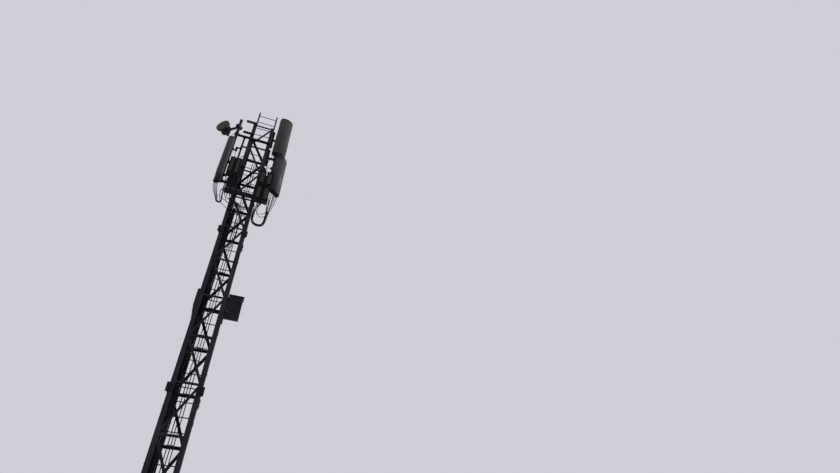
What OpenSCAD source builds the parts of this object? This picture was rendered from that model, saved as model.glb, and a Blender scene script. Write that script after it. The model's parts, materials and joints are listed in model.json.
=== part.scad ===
// Slim square lattice mast for mobile telephony, with its ladder, feeder
// cables, head arms, sector antennas, radio units and one link dish.
// The origin is the centre of the underside of the base plate. Units are mm.
// +X is to the right and +Y to the back for someone who faces the front.

/* [Mast] */
// Outer width of the square mast over its leg angles
mast_w = 570; // [540:10:640]
// Length of the short bottom section
base_section_h = 3000; // [2700:50:3300]
// Length of each of the three full sections
section_h = 4000; // [3800:50:4200]
// Leg length that runs on above the top section line
top_tail = 120; // [100:5:160]
// Flange width of the leg angles
leg_w = 90; // [80:1:100]
// Thickness of the leg angles
leg_t = 9; // [7:0.5:12]
// Gap left between two leg bars at a splice
butt_gap = 2; // [1:0.5:4]

/* [Bracing] */
// Flange width of the bracing angles
brace_w = 50; // [40:1:55]
// Thickness of the bracing angles
brace_t = 5; // [4:0.5:7]
// Height of the first bracing node above a section line
first_node_h = 130; // [115:5:160]
// Overrun of a diagonal past its bolt line
diagonal_tail = 6; // [3:1:10]

/* [Splices] */
// Height of the splice plates
splice_h = 185; // [160:5:220]
// Thickness of the splice plates
splice_t = 10; // [8:0.5:14]
// How far a splice lug stands out past the leg corner
splice_lug = 48; // [35:1:60]
// Width of a splice plate over the leg flange
splice_lap = 82; // [60:1:88]

/* [Base] */
// How far the square base plate stands out past the legs
plate_margin = 95; // [85:5:125]
// Thickness of the base plate
plate_t = 25; // [20:1:35]
// Distance of the anchor holes from the edges of the base plate
anchor_edge = 50; // [40:1:55]
// Diameter of the anchor holes
anchor_d = 28; // [22:1:32]
// Height of the stiffeners at the foot of each leg
gusset_h = 160; // [120:5:200]
// Distance of the stiffeners' toes from the edge of the base plate
gusset_edge = 27; // [15:1:45]
// Thickness of the stiffeners
gusset_t = 10; // [8:1:14]

/* [Ladder] */
// Distance of the rails' centres from the outer faces of the legs
ladder_inset = 30; // [27:1:40]
// Side of the square rails
rail_w = 40; // [30:1:44]
// Distance from the legs to the rails
ladder_standoff = 56; // [50:1:80]
// Distance from rung to rung
rung_pitch = 300; // [260:5:320]
// Diameter of the rungs
rung_d = 20; // [16:1:26]
// Height of the rail ends above the mast's top section line
ladder_above = 1500; // [1300:10:1600]
// Height of the lower rail ends above the ground
ladder_start = 250; // [150:10:350]
// Height of the ladder cleats
cleat_h = 60; // [40:5:80]
// Length of a cleat's foot on the leg
cleat_foot = 55; // [30:5:70]
// Thickness of the ladder cleats
cleat_t = 6; // [4:0.5:6.5]

/* [Feeder cables] */
// Diameter of the six heavy feeders in the rear left corner
feeder_d = 26; // [20:1:28]
// Diameter of the three light cables at the middle of the rear face
light_d = 18; // [12:1:22]
// Thickness of the straps that hold the cables
strap_t = 4; // [3:0.5:5]
// Height of the straps
strap_h = 30; // [20:1:40]
// Outer diameter of the collar round the heavy feeders at the foot
conduit_d = 130; // [120:1:150]
// Height of the collars at the foot
conduit_h = 70; // [50:5:75]
// Wall of the collars
conduit_wall = 4; // [3:0.5:6]

/* [Head arms] */
// Side of the square tubes of the head arms
arm_w = 50; // [44:1:58]
// Wall of the head arm tubes
arm_wall = 5; // [3:0.5:6]
// Height of the deep cross arm under the radio units
deep_arm_h = 120; // [100:5:140]
// Drop of the deep cross arm's centre below the top section line
deep_arm_drop = 2760; // [2720:10:2800]
// Drop of the stub arm beside the right radio units
right_radio_arm_drop = 2395; // [2385:1:2405]
// Drop of the main cross arm
main_arm_drop = 610; // [560:10:660]
// Drop of the lower offset stub
stub_low_drop = 410; // [390:5:430]
// Drop of the upper offset stub below the leg tops
stub_high_drop = 40; // [30:5:80]
// Reach of the offset stubs past the mast's left face
stub_reach = 195; // [145:10:235]

/* [Poles] */
// Outer diameter of the antenna poles
pole_d = 76; // [70:0.5:80]
// Wall of the poles
pole_wall = 4; // [3:0.5:6]
// Outer diameter of the short hanger pole
hanger_d = 48; // [42:0.5:54]
// Distance of the left pole from the mast's left face
left_pole_reach = 330; // [320:5:360]
// Length of the left pole above the main cross arm
left_pole_head = 570; // [480:10:650]
// Length of the left pole below the lowest arm that carries it
left_pole_tail = 100; // [60:5:140]
// Distance of the right pole from the mast's right face
right_pole_reach = 230; // [215:5:245]
// Length of the right pole above its highest bracket
right_pole_head = 130; // [60:10:230]
// Length of the right pole below its lowest bracket
right_pole_tail = 200; // [150:10:250]

/* [Left antenna] */
// Width of the slim antenna on the left pole
slim_w = 170; // [155:5:185]
// Depth of the slim antenna
slim_d = 100; // [90:5:115]
// Height of its lower end above the deep cross arm's centre
slim_rise = 250; // [230:10:280]
// Length of its radome
slim_h = 1430; // [1300:10:1560]
// Height of the dark housing below its radome
slim_foot_h = 250; // [225:5:275]
// Direction it faces, in degrees left of the front
slim_turn = 25; // [15:1:32]

/* [Right antennas] */
// Width of the two wide antennas on the right pole
wide_w = 365; // [330:5:380]
// Depth of the wide antennas
wide_d = 160; // [140:5:170]
// Drop of the upper antenna's lower end below the top section line
upper_drop = 855; // [830:5:880]
// Length of the upper radome
upper_h = 1510; // [1360:10:1600]
// Direction the upper antenna faces, in degrees right of the front
upper_turn = 15; // [5:1:25]
// Clearance between the upper antenna's sockets and the lower antenna's top
stack_gap = 45; // [35:5:60]
// Length of the lower radome
lower_h = 1290; // [1250:10:1310]
// Direction the lower antenna faces, in degrees right of the front
lower_turn = 38; // [34:1:42]

/* [Radio units] */
// Width of a right-hand radio unit
radio_w = 160; // [140:2:166]
// Width of an upper left radio unit
mid_radio_w = 134; // [122:2:140]
// Width of a lower left radio unit
slim_radio_w = 118; // [106:2:120]
// Depth of a radio unit over its fins
radio_d = 130; // [110:2:134]
// Height of the right-hand radio units
radio_h = 500; // [460:10:510]
// Height of the upper left radio units
left_high_h = 630; // [600:10:690]
// Height of the lower left radio units
left_low_h = 550; // [500:10:600]
// Rise of the arm behind the upper left units above their lower ends
high_seat = 565; // [520:5:580]
// Rise of the arm behind the lower left units above their lower ends
low_seat = 420; // [380:5:450]
// Gap between two neighbouring right-hand radio units
radio_gap = 16; // [10:1:20]
// Gap between two neighbouring left-hand radio units
left_radio_gap = 6; // [4:1:10]
// Distance from the arms to the back of the radio units
radio_standoff = 24; // [16:1:30]

/* [Dish] */
// Diameter of the link dish
dish_d = 375; // [340:5:410]
// Depth of its straight shroud
shroud_h = 60; // [45:1:75]
// Rise of the dish's centre above the main cross arm's centre
dish_rise = 80; // [70:1:100]
// Direction the dish faces, in degrees left of the front
dish_turn = 38; // [34:1:44]
// Distance of the pole to the side of the dish's axis
dish_side = 290; // [265:1:315]

/* [Side boxes] */
// Width of the equipment box on the right
box_w = 300; // [260:5:330]
// Depth of the equipment box
box_d = 200; // [160:5:240]
// Height of the equipment box
box_h = 500; // [450:10:560]
// Height of the equipment box's lower side above the middle section line
box_rise = 1770; // [1740:10:1800]
// Height of the flat closure box on the left
flat_box_h = 420; // [370:10:470]
// Thickness of the flat closure box on the left
flat_box_t = 44; // [30:1:55]

/* [Hidden] */
$fn = 48;

steel = [0.25, 0.26, 0.30];
dark_steel = [0.17, 0.17, 0.20];
radome_grey = [0.58, 0.60, 0.57];
radio_grey = [0.30, 0.31, 0.31];
cable_black = [0.08, 0.08, 0.09];
olive = [0.34, 0.34, 0.26];

// Clearance between pieces that seat on each other but are round
seat = 0.3;
eps = 0.01;

half = mast_w / 2;
full_sections = 3;
mast_h = base_section_h + full_sections * section_h;
leg_top = mast_h + top_tail;
plate_w = mast_w + 2 * plate_margin;
anchor_spacing = plate_w - 2 * anchor_edge;
gusset_reach = plate_margin - gusset_edge;
ladder_w = mast_w - 2 * ladder_inset;

// Section lines where legs are spliced
splice_z = [for (i = [0 : full_sections - 1]) base_section_h + i * section_h];

// Bracing nodes of the front and rear faces, four panels to a full section
panels_base = 3;
panels_full = 4;
top_node_drop = 60;
top_node = leg_top - top_node_drop;
face_nodes = concat(
    [for (i = [0 : panels_base - 1]) i * base_section_h / panels_base + first_node_h],
    [for (s = [0 : full_sections - 1], i = [0 : panels_full - 1])
        splice_z[s] + i * section_h / panels_full + first_node_h],
    [top_node]
);

// The side faces have their nodes half a panel higher
side_nodes = concat(
    [first_node_h + brace_w * 1.5],
    [for (i = [0 : len(face_nodes) - 2]) (face_nodes[i] + face_nodes[i + 1]) / 2]
);

// Angle section with its corner at the origin and flanges along +X and +Y
module angle_profile(w, t) {
    square([w, t]);
    square([t, w]);
}

// Places children, drawn at the front left corner, at the corner named by
// the signs of its X and Y
module at_corner(sx, sy) {
    mirror([sx > 0 ? 1 : 0, 0, 0])
        mirror([0, sy > 0 ? 1 : 0, 0])
            translate([-half, -half, 0])
                children();
}

// Places children, drawn for the front face, on the face that is turned
// to the given quarter
module on_face(quarter) {
    rotate([0, 0, 90 * quarter])
        children();
}

module leg(sx, sy) {
    color(steel)
        at_corner(sx, sy)
            for (i = [0 : full_sections]) {
                low = i == 0 ? plate_t : splice_z[i - 1] + butt_gap / 2;
                high = i == full_sections ? leg_top : splice_z[i] - butt_gap / 2;
                translate([0, 0, low])
                    linear_extrude(high - low)
                        angle_profile(leg_w, leg_t);
            }
}

module base_plate() {
    color(steel)
        difference() {
            translate([-plate_w / 2, -plate_w / 2, 0])
                cube([plate_w, plate_w, plate_t]);
            for (sx = [-1, 1], sy = [-1, 1])
                translate([sx * anchor_spacing / 2, sy * anchor_spacing / 2, -1])
                    cylinder(d = anchor_d, h = plate_t + 2);
        }
}

// Triangular stiffener that stands out from a leg face
module gusset() {
    toe = 15;
    rotate([90, 0, 0])
        linear_extrude(gusset_t)
            polygon([
                [0, 0], [-gusset_reach, 0], [-gusset_reach, toe],
                [-toe, gusset_h], [0, gusset_h]
            ]);
}

module base_gussets() {
    color(steel)
        for (sx = [-1, 1], sy = [-1, 1])
            at_corner(sx, sy)
                translate([0, 0, plate_t]) {
                    translate([0, leg_w / 2, 0])
                        gusset();
                    mirror([1, -1, 0])
                        translate([0, leg_w / 2, 0])
                            gusset();
                }
}

// One corner's splice: a plate on each outer leg face, the front one
// running out sideways by reach, as a bolted lug where that is long
module splice(reach) {
    translate([0, 0, -splice_h / 2]) {
        translate([-reach, -splice_t, 0])
            cube([reach + splice_lap, splice_t, splice_h]);
        translate([-splice_t, -splice_t, 0])
            cube([splice_t, splice_t + splice_lap, splice_h]);
        if (reach > splice_t)
            translate([-reach, -splice_t, splice_h / 4])
                cube([reach - splice_t + eps, splice_t * 2, splice_h / 2]);
    }
}

module splices(level) {
    color(dark_steel)
        for (sx = [-1, 1], sy = [-1, 1])
            at_corner(sx, sy)
                translate([0, 0, splice_z[level]])
                    splice(sy < 0 ? splice_lug : splice_t);
}

// Half length of a horizontal, short of the side face's bars
corner_gap = 2;
bar_reach = half - leg_t - brace_t - corner_gap;
// Bolt line of the bracing on a leg flange
gauge_x = half - leg_w / 2;

// Outline of a bracing angle along +X: its whole flange or only its lip,
// which is the flange that points into the mast
module bar_outline(length, lip) {
    translate([0, lip ? brace_w / 2 - brace_t : -brace_w / 2])
        square([length, lip ? brace_t : brace_w]);
}

// Horizontals at the heights in the list and a zigzag between them
module bracing_outline(heights, phase, lip) {
    for (z = heights)
        translate([-bar_reach, z])
            bar_outline(2 * bar_reach, lip);
    for (i = [0 : len(heights) - 2]) {
        rise = heights[i + 1] - heights[i];
        rising = (i + phase) % 2 == 0;
        start_z = rising ? heights[i] : heights[i + 1];
        slope = atan2(rising ? rise : -rise, 2 * gauge_x);
        length = norm([rise, 2 * gauge_x]) + 2 * diagonal_tail;
        translate([-gauge_x, start_z])
            rotate(slope)
                translate([-diagonal_tail, 0])
                    bar_outline(length, lip);
    }
}

// Bracing of one face, fused where its bars cross, inside the leg flanges
module face_bracing(heights, phase) {
    for (lip = [false, true]) {
        depth = lip ? brace_w : brace_t;
        translate([0, -half + leg_t + depth, 0])
            rotate([90, 0, 0])
                linear_extrude(depth)
                    bracing_outline(heights, phase, lip);
    }
}

module bracing_front() {
    color(steel)
        face_bracing(face_nodes, 0);
}

module bracing_back() {
    color(steel)
        mirror([0, 1, 0])
            face_bracing(face_nodes, 1);
}

module bracing_left() {
    color(steel)
        on_face(3)
            face_bracing(side_nodes, 0);
}

module bracing_right() {
    color(steel)
        on_face(1)
            face_bracing(side_nodes, 1);
}

// Heights of the head arms' centres
deep_arm_z = mast_h - deep_arm_drop;
right_radio_arm_z = mast_h - right_radio_arm_drop;
main_arm_z = mast_h - main_arm_drop;
stub_z = [mast_h - stub_low_drop, leg_top - stub_high_drop];
right_arm_drops = [1600, 850, 50];
right_arm_z = [for (drop = right_arm_drops) mast_h - drop];

// Sockets below antennas and radio units
socket_h = 30;

// Lower ends of the left radio units and the arms behind them
left_low_sink = 160;
left_stack_gap = 5;
left_low_z = deep_arm_z - left_low_sink;
left_high_z = left_low_z + left_low_h + socket_h + left_stack_gap;
low_pole_arm_z = left_low_z + low_seat;
high_pole_arm_z = left_high_z + high_seat;

ladder_y = half + ladder_standoff + rail_w / 2;
ladder_top = mast_h + ladder_above;
top_rung_drop = 150;
rung_count = floor((ladder_top - top_rung_drop - ladder_start - rung_d) / rung_pitch) + 1;

module ladder_rails() {
    color(dark_steel)
        for (s = [-1, 1])
            translate([s * ladder_w / 2 - rail_w / 2, ladder_y - rail_w / 2, ladder_start])
                cube([rail_w, rail_w, ladder_top - ladder_start]);
}

module ladder_rungs() {
    inner_w = ladder_w - rail_w;
    color(dark_steel)
        for (i = [0 : rung_count - 1])
            translate([-inner_w / 2, ladder_y, ladder_top - top_rung_drop - i * rung_pitch])
                rotate([0, 90, 0])
                    cylinder(d = rung_d, h = inner_w);
}

// Angle cleats outside the rails that hold them off the rear legs, at every
// second node of the side faces, which keeps them clear of the splices
module ladder_cleats() {
    outer_x = ladder_w / 2 + rail_w / 2;
    color(steel)
        for (i = [1 : 2 : len(side_nodes) - 1], s = [0, 1])
            mirror([s, 0, 0])
                translate([outer_x, half, side_nodes[i] - cleat_h / 2]) {
                    translate([-cleat_foot, 0, 0])
                        cube([cleat_foot + cleat_t, cleat_t, cleat_h]);
                    cube([cleat_t, ladder_standoff + rail_w, cleat_h]);
                }
}

// Inner edge of the rear bracing, which the cables run against
cable_wall = half - leg_t - brace_w;
feeder_gap = 3;
feeder_pitch = feeder_d + feeder_gap;
feeder_cols = 3;
feeder_rows = 2;
feeder_leg_gap = 12;
feeder_x = -half + leg_w + feeder_leg_gap + feeder_d / 2;
light_pitch = 52;
light_cols = 3;
light_x = -38;
feeder_top = deep_arm_z - deep_arm_h;
light_top_drop = 450;
light_top = main_arm_z - light_top_drop;

function feeder_y(row) = cable_wall - seat - feeder_d / 2 - row * feeder_pitch;
light_y = cable_wall - seat - light_d / 2;

module feeder_cables() {
    color(cable_black)
        for (c = [0 : feeder_cols - 1], r = [0 : feeder_rows - 1])
            translate([feeder_x + c * feeder_pitch, feeder_y(r), plate_t])
                cylinder(d = feeder_d, h = feeder_top - plate_t, $fn = 24);
}

module light_cables() {
    color(cable_black)
        for (c = [0 : light_cols - 1])
            translate([light_x + c * light_pitch, light_y, plate_t])
                cylinder(d = light_d, h = light_top - plate_t, $fn = 24);
}

// U-shaped strap round a group of cables, its ends on the bracing
module strap(x_low, x_high, depth) {
    inner_w = x_high - x_low;
    translate([x_low, cable_wall - depth, 0])
        linear_extrude(strap_h)
            difference() {
                translate([-strap_t, -strap_t])
                    square([inner_w + 2 * strap_t, depth + strap_t]);
                square([inner_w, depth + 1]);
            }
}

module cable_straps() {
    feeder_low = feeder_x - feeder_d / 2 - seat;
    feeder_high = feeder_x + (feeder_cols - 1) * feeder_pitch + feeder_d / 2 + seat;
    feeder_depth = feeder_rows * feeder_pitch + seat;
    light_low = light_x - light_d / 2 - seat;
    light_high = light_x + (light_cols - 1) * light_pitch + light_d / 2 + seat;
    color(steel)
        for (i = [0 : len(face_nodes) - 3])
            translate([0, 0, face_nodes[i] + brace_w / 2 - strap_h]) {
                if (face_nodes[i] < feeder_top - strap_h)
                    strap(feeder_low, feeder_high, feeder_depth);
                if (face_nodes[i] < light_top - strap_h)
                    strap(light_low, light_high, light_d + 2 * seat);
            }
}

// Upright round tube
module tube(d, wall, h) {
    difference() {
        cylinder(d = d, h = h);
        translate([0, 0, -1])
            cylinder(d = d - 2 * wall, h = h + 2);
    }
}

// Collars on the base plate that the cables come up through
module cable_conduits() {
    feeder_mid = feeder_x + (feeder_cols - 1) / 2 * feeder_pitch;
    feeder_mid_y = (feeder_y(0) + feeder_y(feeder_rows - 1)) / 2;
    color(olive) {
        translate([feeder_mid, feeder_mid_y, plate_t])
            tube(conduit_d, conduit_wall, conduit_h);
        for (c = [0 : light_cols - 1])
            translate([light_x + c * light_pitch, light_y, plate_t])
                tube(light_d + 2 * (seat + conduit_wall), conduit_wall, conduit_h);
    }
}

front_arm_y = -half - arm_w;

// Hollow square arm along +X, drawn from x_low to x_high at height z
module arm_x(x_low, x_high, z, h = arm_w) {
    translate([x_low, front_arm_y, z - h / 2])
        rotate([90, 0, 90])
            linear_extrude(x_high - x_low)
                difference() {
                    square([arm_w, h]);
                    translate([arm_wall, arm_wall])
                        square([arm_w - 2 * arm_wall, h - 2 * arm_wall]);
                }
}

left_pole_x = half + left_pole_reach;
right_pole_x = half + right_pole_reach;
arm_overhang = 60;

// Middle of each pair of radio units, as its distance from the mast's face
right_pair_x = half + 120;
left_high_pair_x = half + 125;
left_low_pair_x = half + 50;
deep_overrun = 10;
deep_reach = right_pair_x + radio_w + radio_gap / 2 + deep_overrun;
deep_left_reach = left_low_pair_x + slim_radio_w + left_radio_gap / 2 + deep_overrun;
right_stub_reach = right_pair_x + (radio_w + radio_gap) / 2;

module arm_main() {
    color(dark_steel)
        arm_x(-left_pole_x - arm_overhang, half, main_arm_z);
}

module arm_deep() {
    color(dark_steel)
        arm_x(-deep_left_reach, deep_reach, deep_arm_z, deep_arm_h);
}

module arms_radio() {
    color(dark_steel) {
        for (z = [low_pole_arm_z, high_pole_arm_z])
            arm_x(-left_pole_x - arm_overhang, -half + leg_w, z);
        arm_x(half - leg_w, right_stub_reach, right_radio_arm_z);
    }
}

module arms_offset() {
    color(dark_steel)
        for (z = stub_z)
            arm_x(-half - stub_reach, -half + leg_w, z);
}

pole_r = pole_d / 2;
hanger_r = hanger_d / 2;
left_pole_y = front_arm_y - pole_r - seat;
left_pole_low = low_pole_arm_z - left_pole_tail;
left_pole_top = main_arm_z + left_pole_head;
hanger_offset = 120;
hanger_x = -half - hanger_offset;
hanger_y = -half + hanger_r + seat;

// End caps of the antennas and their sockets
cap_h = 40;
cap_inset = 5;
socket_d = 26;
socket_inset = 35;
wide_sockets = 6;
slim_sockets = 4;

// Antenna heights, and those of their brackets
slim_z = deep_arm_z + slim_rise;
upper_z = mast_h - upper_drop;
lower_z = upper_z - socket_h - 2 * cap_h - stack_gap - lower_h;
bracket_inset = 200;
upper_top_inset = 320;
slim_bracket_z = [slim_z + bracket_inset, slim_z + slim_h - bracket_inset];
upper_bracket_z = [upper_z + bracket_inset, upper_z + upper_h - upper_top_inset];
lower_bracket_z = [lower_z + bracket_inset, lower_z + lower_h - bracket_inset];
right_pole_low = lower_bracket_z[0] - right_pole_tail;
right_pole_top = upper_bracket_z[1] + right_pole_head;

// End plates of the right-hand arms, which the right pole stands on
end_plate_t = 8;
end_plate_w = 120;
right_face_x = right_pole_x - pole_r - seat;

// Cross bars on the right face, each with a stub and an end plate
module arms_right() {
    color(dark_steel)
        for (z = right_arm_z)
            translate([0, 0, z - arm_w / 2]) {
                translate([half, -half, 0])
                    cube([arm_w, mast_w, arm_w]);
                translate([half + arm_w - eps, -arm_w / 2, 0])
                    cube([right_face_x - half - arm_w, arm_w, arm_w]);
                translate([right_face_x - end_plate_t, -end_plate_w / 2, 0])
                    cube([end_plate_t, end_plate_w, arm_w]);
            }
}

module pole_left() {
    color(dark_steel)
        translate([-left_pole_x, left_pole_y, left_pole_low])
            tube(pole_d, pole_wall, left_pole_top - left_pole_low);
}

module pole_hanger() {
    low = high_pole_arm_z - 2 * arm_w;
    color(dark_steel)
        translate([hanger_x, hanger_y, low])
            tube(hanger_d, pole_wall, main_arm_z + arm_w - low);
}

module pole_right() {
    color(dark_steel)
        translate([right_pole_x, 0, right_pole_low])
            tube(pole_d, pole_wall, right_pole_top - right_pole_low);
}

clamp_h = 40;
clamp_t = 8;
clamp_foot = 30;

// Strap round a pole of radius r that lies against the plane y = 0
module pole_clamp(r) {
    inner = r + seat;
    outer = inner + clamp_t;
    translate([0, 0, -clamp_h / 2])
        linear_extrude(clamp_h)
            difference() {
                union() {
                    translate([0, -inner])
                        circle(r = outer);
                    translate([-outer, -inner])
                        square([2 * outer, inner]);
                    translate([-inner - clamp_foot, -clamp_t])
                        square([2 * (inner + clamp_foot), clamp_t]);
                }
                translate([0, -inner])
                    circle(r = inner);
                translate([-inner, -inner])
                    square([2 * inner, inner + 1]);
                translate([-outer, 0])
                    square(2 * outer);
            }
}

module pole_clamps() {
    color(steel) {
        for (z = [low_pole_arm_z, high_pole_arm_z, main_arm_z])
            translate([-left_pole_x, front_arm_y, z])
                pole_clamp(pole_r);
        for (z = [high_pole_arm_z, main_arm_z])
            translate([hanger_x, -half, z])
                rotate([0, 0, 180])
                    pole_clamp(hanger_r);
        for (z = right_arm_z)
            translate([right_face_x, 0, z])
                rotate([0, 0, 90])
                    pole_clamp(pole_r);
    }
}

stay_drop = 970;
stay_w = 30;
stay_foot = [8, 45, 60];
hanger_ring_wall = 7;
hanger_arm_drop = 100;
hanger_arm_reach = 135;
hanger_body_w = 55;
hanger_body_h = 115;

// Small box that hangs from an arm on the hanger pole, with the stay that
// holds the pole off the leg
module hanger_box() {
    low = -hanger_arm_drop - stay_w / 2;
    color(dark_steel)
        translate([hanger_x, hanger_y, mast_h - stay_drop])
            difference() {
                union() {
                    translate([0, -stay_w / 2, -stay_w / 2])
                        cube([hanger_offset, stay_w, stay_w]);
                    translate([hanger_offset - stay_foot[0], -stay_w / 2, -stay_foot[2] / 2])
                        cube(stay_foot);
                    translate([0, 0, low])
                        cylinder(r = hanger_r + seat + hanger_ring_wall, h = hanger_arm_drop + stay_w);
                    translate([-hanger_arm_reach, -stay_w / 2, low])
                        cube([hanger_arm_reach, stay_w, stay_w]);
                    translate([-hanger_arm_reach, -hanger_body_w / 2, low - hanger_body_h])
                        cube([hanger_body_w, hanger_body_w, hanger_body_h + eps]);
                }
                translate([0, 0, low - stay_w])
                    cylinder(r = hanger_r + seat, h = hanger_arm_drop + 3 * stay_w);
            }
}

bracket_gap_slim = 85;
bracket_gap_upper = 112;
bracket_gap_lower = 160;
jaw_w = 100;
jaw_h = 60;
jaw_lip = 20;
jaw_split = 6;
back_plate_t = 6;

// Bracket from a pole at the origin to an antenna back at the distance gap
// in front of the pole
module antenna_bracket(gap) {
    outer = pole_r + jaw_lip;
    translate([0, 0, -jaw_h / 2]) {
        difference() {
            union() {
                translate([-jaw_w / 2, -outer, 0])
                    cube([jaw_w, outer - jaw_split, jaw_h]);
                translate([-jaw_w / 5, -pole_r - gap, 0])
                    cube([jaw_w * 2 / 5, gap, jaw_h]);
                translate([-jaw_w / 2, -pole_r - gap, -jaw_h / 2])
                    cube([jaw_w, back_plate_t, 2 * jaw_h]);
            }
            translate([0, 0, -1])
                cylinder(r = pole_r + seat, h = jaw_h + 2);
        }
        difference() {
            translate([-jaw_w / 2, jaw_split, 0])
                cube([jaw_w, outer - jaw_split, jaw_h]);
            translate([0, 0, -1])
                cylinder(r = pole_r + seat, h = jaw_h + 2);
        }
    }
}

// Radome outline: flat back on y = 0 and a curved front, which takes this
// share of the depth
bulge_share = 0.45;
module radome_profile(w, d) {
    bulge = d * bulge_share;
    arc_r = (w * w / 4 + bulge * bulge) / (2 * bulge);
    intersection() {
        translate([-w / 2, -d])
            square([w, d]);
        translate([0, arc_r - d])
            circle(r = arc_r, $fn = 120);
    }
}

// Places children at an antenna's back plane, on its pole
module at_antenna(pole_x, pole_y, turn, gap, z) {
    translate([pole_x, pole_y, z])
        rotate([0, 0, turn])
            translate([0, -pole_r - gap, 0])
                children();
}

module at_slim(z) {
    at_antenna(-left_pole_x, left_pole_y, -slim_turn, bracket_gap_slim, z)
        children();
}

module at_upper(z) {
    at_antenna(right_pole_x, 0, upper_turn, bracket_gap_upper, z)
        children();
}

module at_lower(z) {
    at_antenna(right_pole_x, 0, lower_turn, bracket_gap_lower, z)
        children();
}

module antenna_left() {
    color(radome_grey)
        at_slim(slim_z)
            linear_extrude(slim_h)
                radome_profile(slim_w, slim_d);
}

module antenna_upper() {
    color(radome_grey)
        at_upper(upper_z)
            linear_extrude(upper_h)
                radome_profile(wide_w, wide_d);
}

module antenna_lower() {
    color(radome_grey)
        at_lower(lower_z)
            linear_extrude(lower_h)
                radome_profile(wide_w, wide_d);
}

// End caps of one antenna, the lower one foot_h high and with a row of
// sockets near its back
module end_caps(w, d, h, sockets, foot_h) {
    socket_pitch = (w - 2 * socket_inset) / (sockets - 1);
    for (span = [[-foot_h, foot_h], [h, cap_h]])
        translate([0, -cap_inset, span[0]])
            linear_extrude(span[1])
                radome_profile(w - 2 * cap_inset, d - 2 * cap_inset);
    for (i = [0 : sockets - 1])
        translate([-w / 2 + socket_inset + i * socket_pitch, -d / 4, -foot_h - socket_h])
            cylinder(d = socket_d, h = socket_h + eps, $fn = 24);
}

module antenna_end_caps() {
    color(dark_steel) {
        at_slim(slim_z)
            end_caps(slim_w, slim_d, slim_h, slim_sockets, slim_foot_h);
        at_upper(upper_z)
            end_caps(wide_w, wide_d, upper_h, wide_sockets, cap_h);
        at_lower(lower_z)
            end_caps(wide_w, wide_d, lower_h, wide_sockets, cap_h);
    }
}

module antenna_brackets() {
    color(steel) {
        for (z = slim_bracket_z)
            translate([-left_pole_x, left_pole_y, z])
                rotate([0, 0, -slim_turn])
                    antenna_bracket(bracket_gap_slim);
        for (z = upper_bracket_z)
            translate([right_pole_x, 0, z])
                rotate([0, 0, upper_turn])
                    antenna_bracket(bracket_gap_upper);
        for (z = lower_bracket_z)
            translate([right_pole_x, 0, z])
                rotate([0, 0, lower_turn])
                    antenna_bracket(bracket_gap_lower);
    }
}

dish_z = main_arm_z + dish_rise;
reflector_depth = 135;
dish_wall = 4;
hub_r = 60;
dish_crown = 6;
link_radio_w = 210;
link_radio_d = 120;
link_body_d = 84;
link_fins = 7;
link_fin_w = 4;
link_fin_d = 108;
link_plate_w = 160;
link_plate_t = 8;
pivot_d = 68;
link_arm_rise = 150;
link_arm_w = 50;
collar_drop = 20;
pivot_sink = 6;
dish_back = reflector_depth + link_radio_d + link_plate_t + pivot_d / 2 - pivot_sink;

// Places children at the centre of the dish's front face, with +Y to its back
module at_dish() {
    translate([-left_pole_x, left_pole_y, dish_z])
        rotate([0, 0, -dish_turn])
            translate([-dish_side, -dish_back, 0])
                children();
}

// Straight shroud and conical back, as a turned shell open at the front
module dish_reflector() {
    r = dish_d / 2;
    color(radome_grey)
        at_dish()
            rotate([-90, 0, 0])
                rotate_extrude()
                    polygon([
                        [r - dish_wall, dish_wall], [r, dish_wall], [r, shroud_h],
                        [hub_r, reflector_depth], [0, reflector_depth],
                        [0, reflector_depth - dish_wall * 2], [hub_r, reflector_depth - dish_wall * 2],
                        [r - dish_wall, shroud_h - dish_wall]
                    ]);
}

// Stretched cover, bowed out a little
module dish_radome() {
    steps = 5;
    r = dish_d / 2;
    bow = [for (i = [0 : steps]) [r * i / steps, -dish_crown * (1 - pow(i / steps, 2))]];
    color(radome_grey)
        at_dish()
            rotate([-90, 0, 0])
                rotate_extrude()
                    polygon(concat(bow, [[r, dish_wall], [0, dish_wall]]));
}

module dish_radio() {
    color(radio_grey)
        at_dish()
            translate([-link_radio_w / 2, reflector_depth, -link_radio_w / 2])
                linear_extrude(link_radio_w)
                    union() {
                        square([link_radio_w, link_body_d]);
                        translate([(link_radio_w - link_plate_w) / 2, 0])
                            square([link_plate_w, link_radio_d]);
                        for (i = [0 : link_fins - 1])
                            translate([i * (link_radio_w - link_fin_w) / (link_fins - 1), 0])
                                square([link_fin_w, link_fin_d]);
                    }
}

module dish_bracket() {
    plate_y = reflector_depth + link_radio_d;
    color(steel)
        at_dish() {
            translate([-link_plate_w / 2, plate_y, -link_plate_w / 2])
                cube([link_plate_w, link_plate_t, link_plate_w]);
            translate([0, dish_back, -link_plate_w / 2])
                cylinder(d = pivot_d, h = link_plate_w / 2 + link_arm_rise + link_arm_w);
            difference() {
                union() {
                    translate([0, dish_back - link_arm_w / 2, link_arm_rise])
                        cube([dish_side - jaw_w / 2, link_arm_w, link_arm_w]);
                    translate([dish_side - jaw_w / 2 - eps, dish_back - jaw_w / 2,
                        link_arm_rise - collar_drop])
                        cube([jaw_w, jaw_w, jaw_w]);
                }
                translate([dish_side, dish_back, link_arm_rise - collar_drop - 1])
                    cylinder(r = pole_r + seat, h = jaw_w + 2);
            }
        }
}

radio_fin_w = 4;
radio_fin_d = 32;
radio_fins = 9;
radio_cap_t = 10;
radio_back_y = front_arm_y - radio_standoff;
radio_socket_d = 21;
radio_socket_inset = 30;
radio_socket_edge = 26;

// Drops of the right radio units' lower ends below the arms that carry them
right_low_sink = 220;
right_high_sink = 25;

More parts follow.
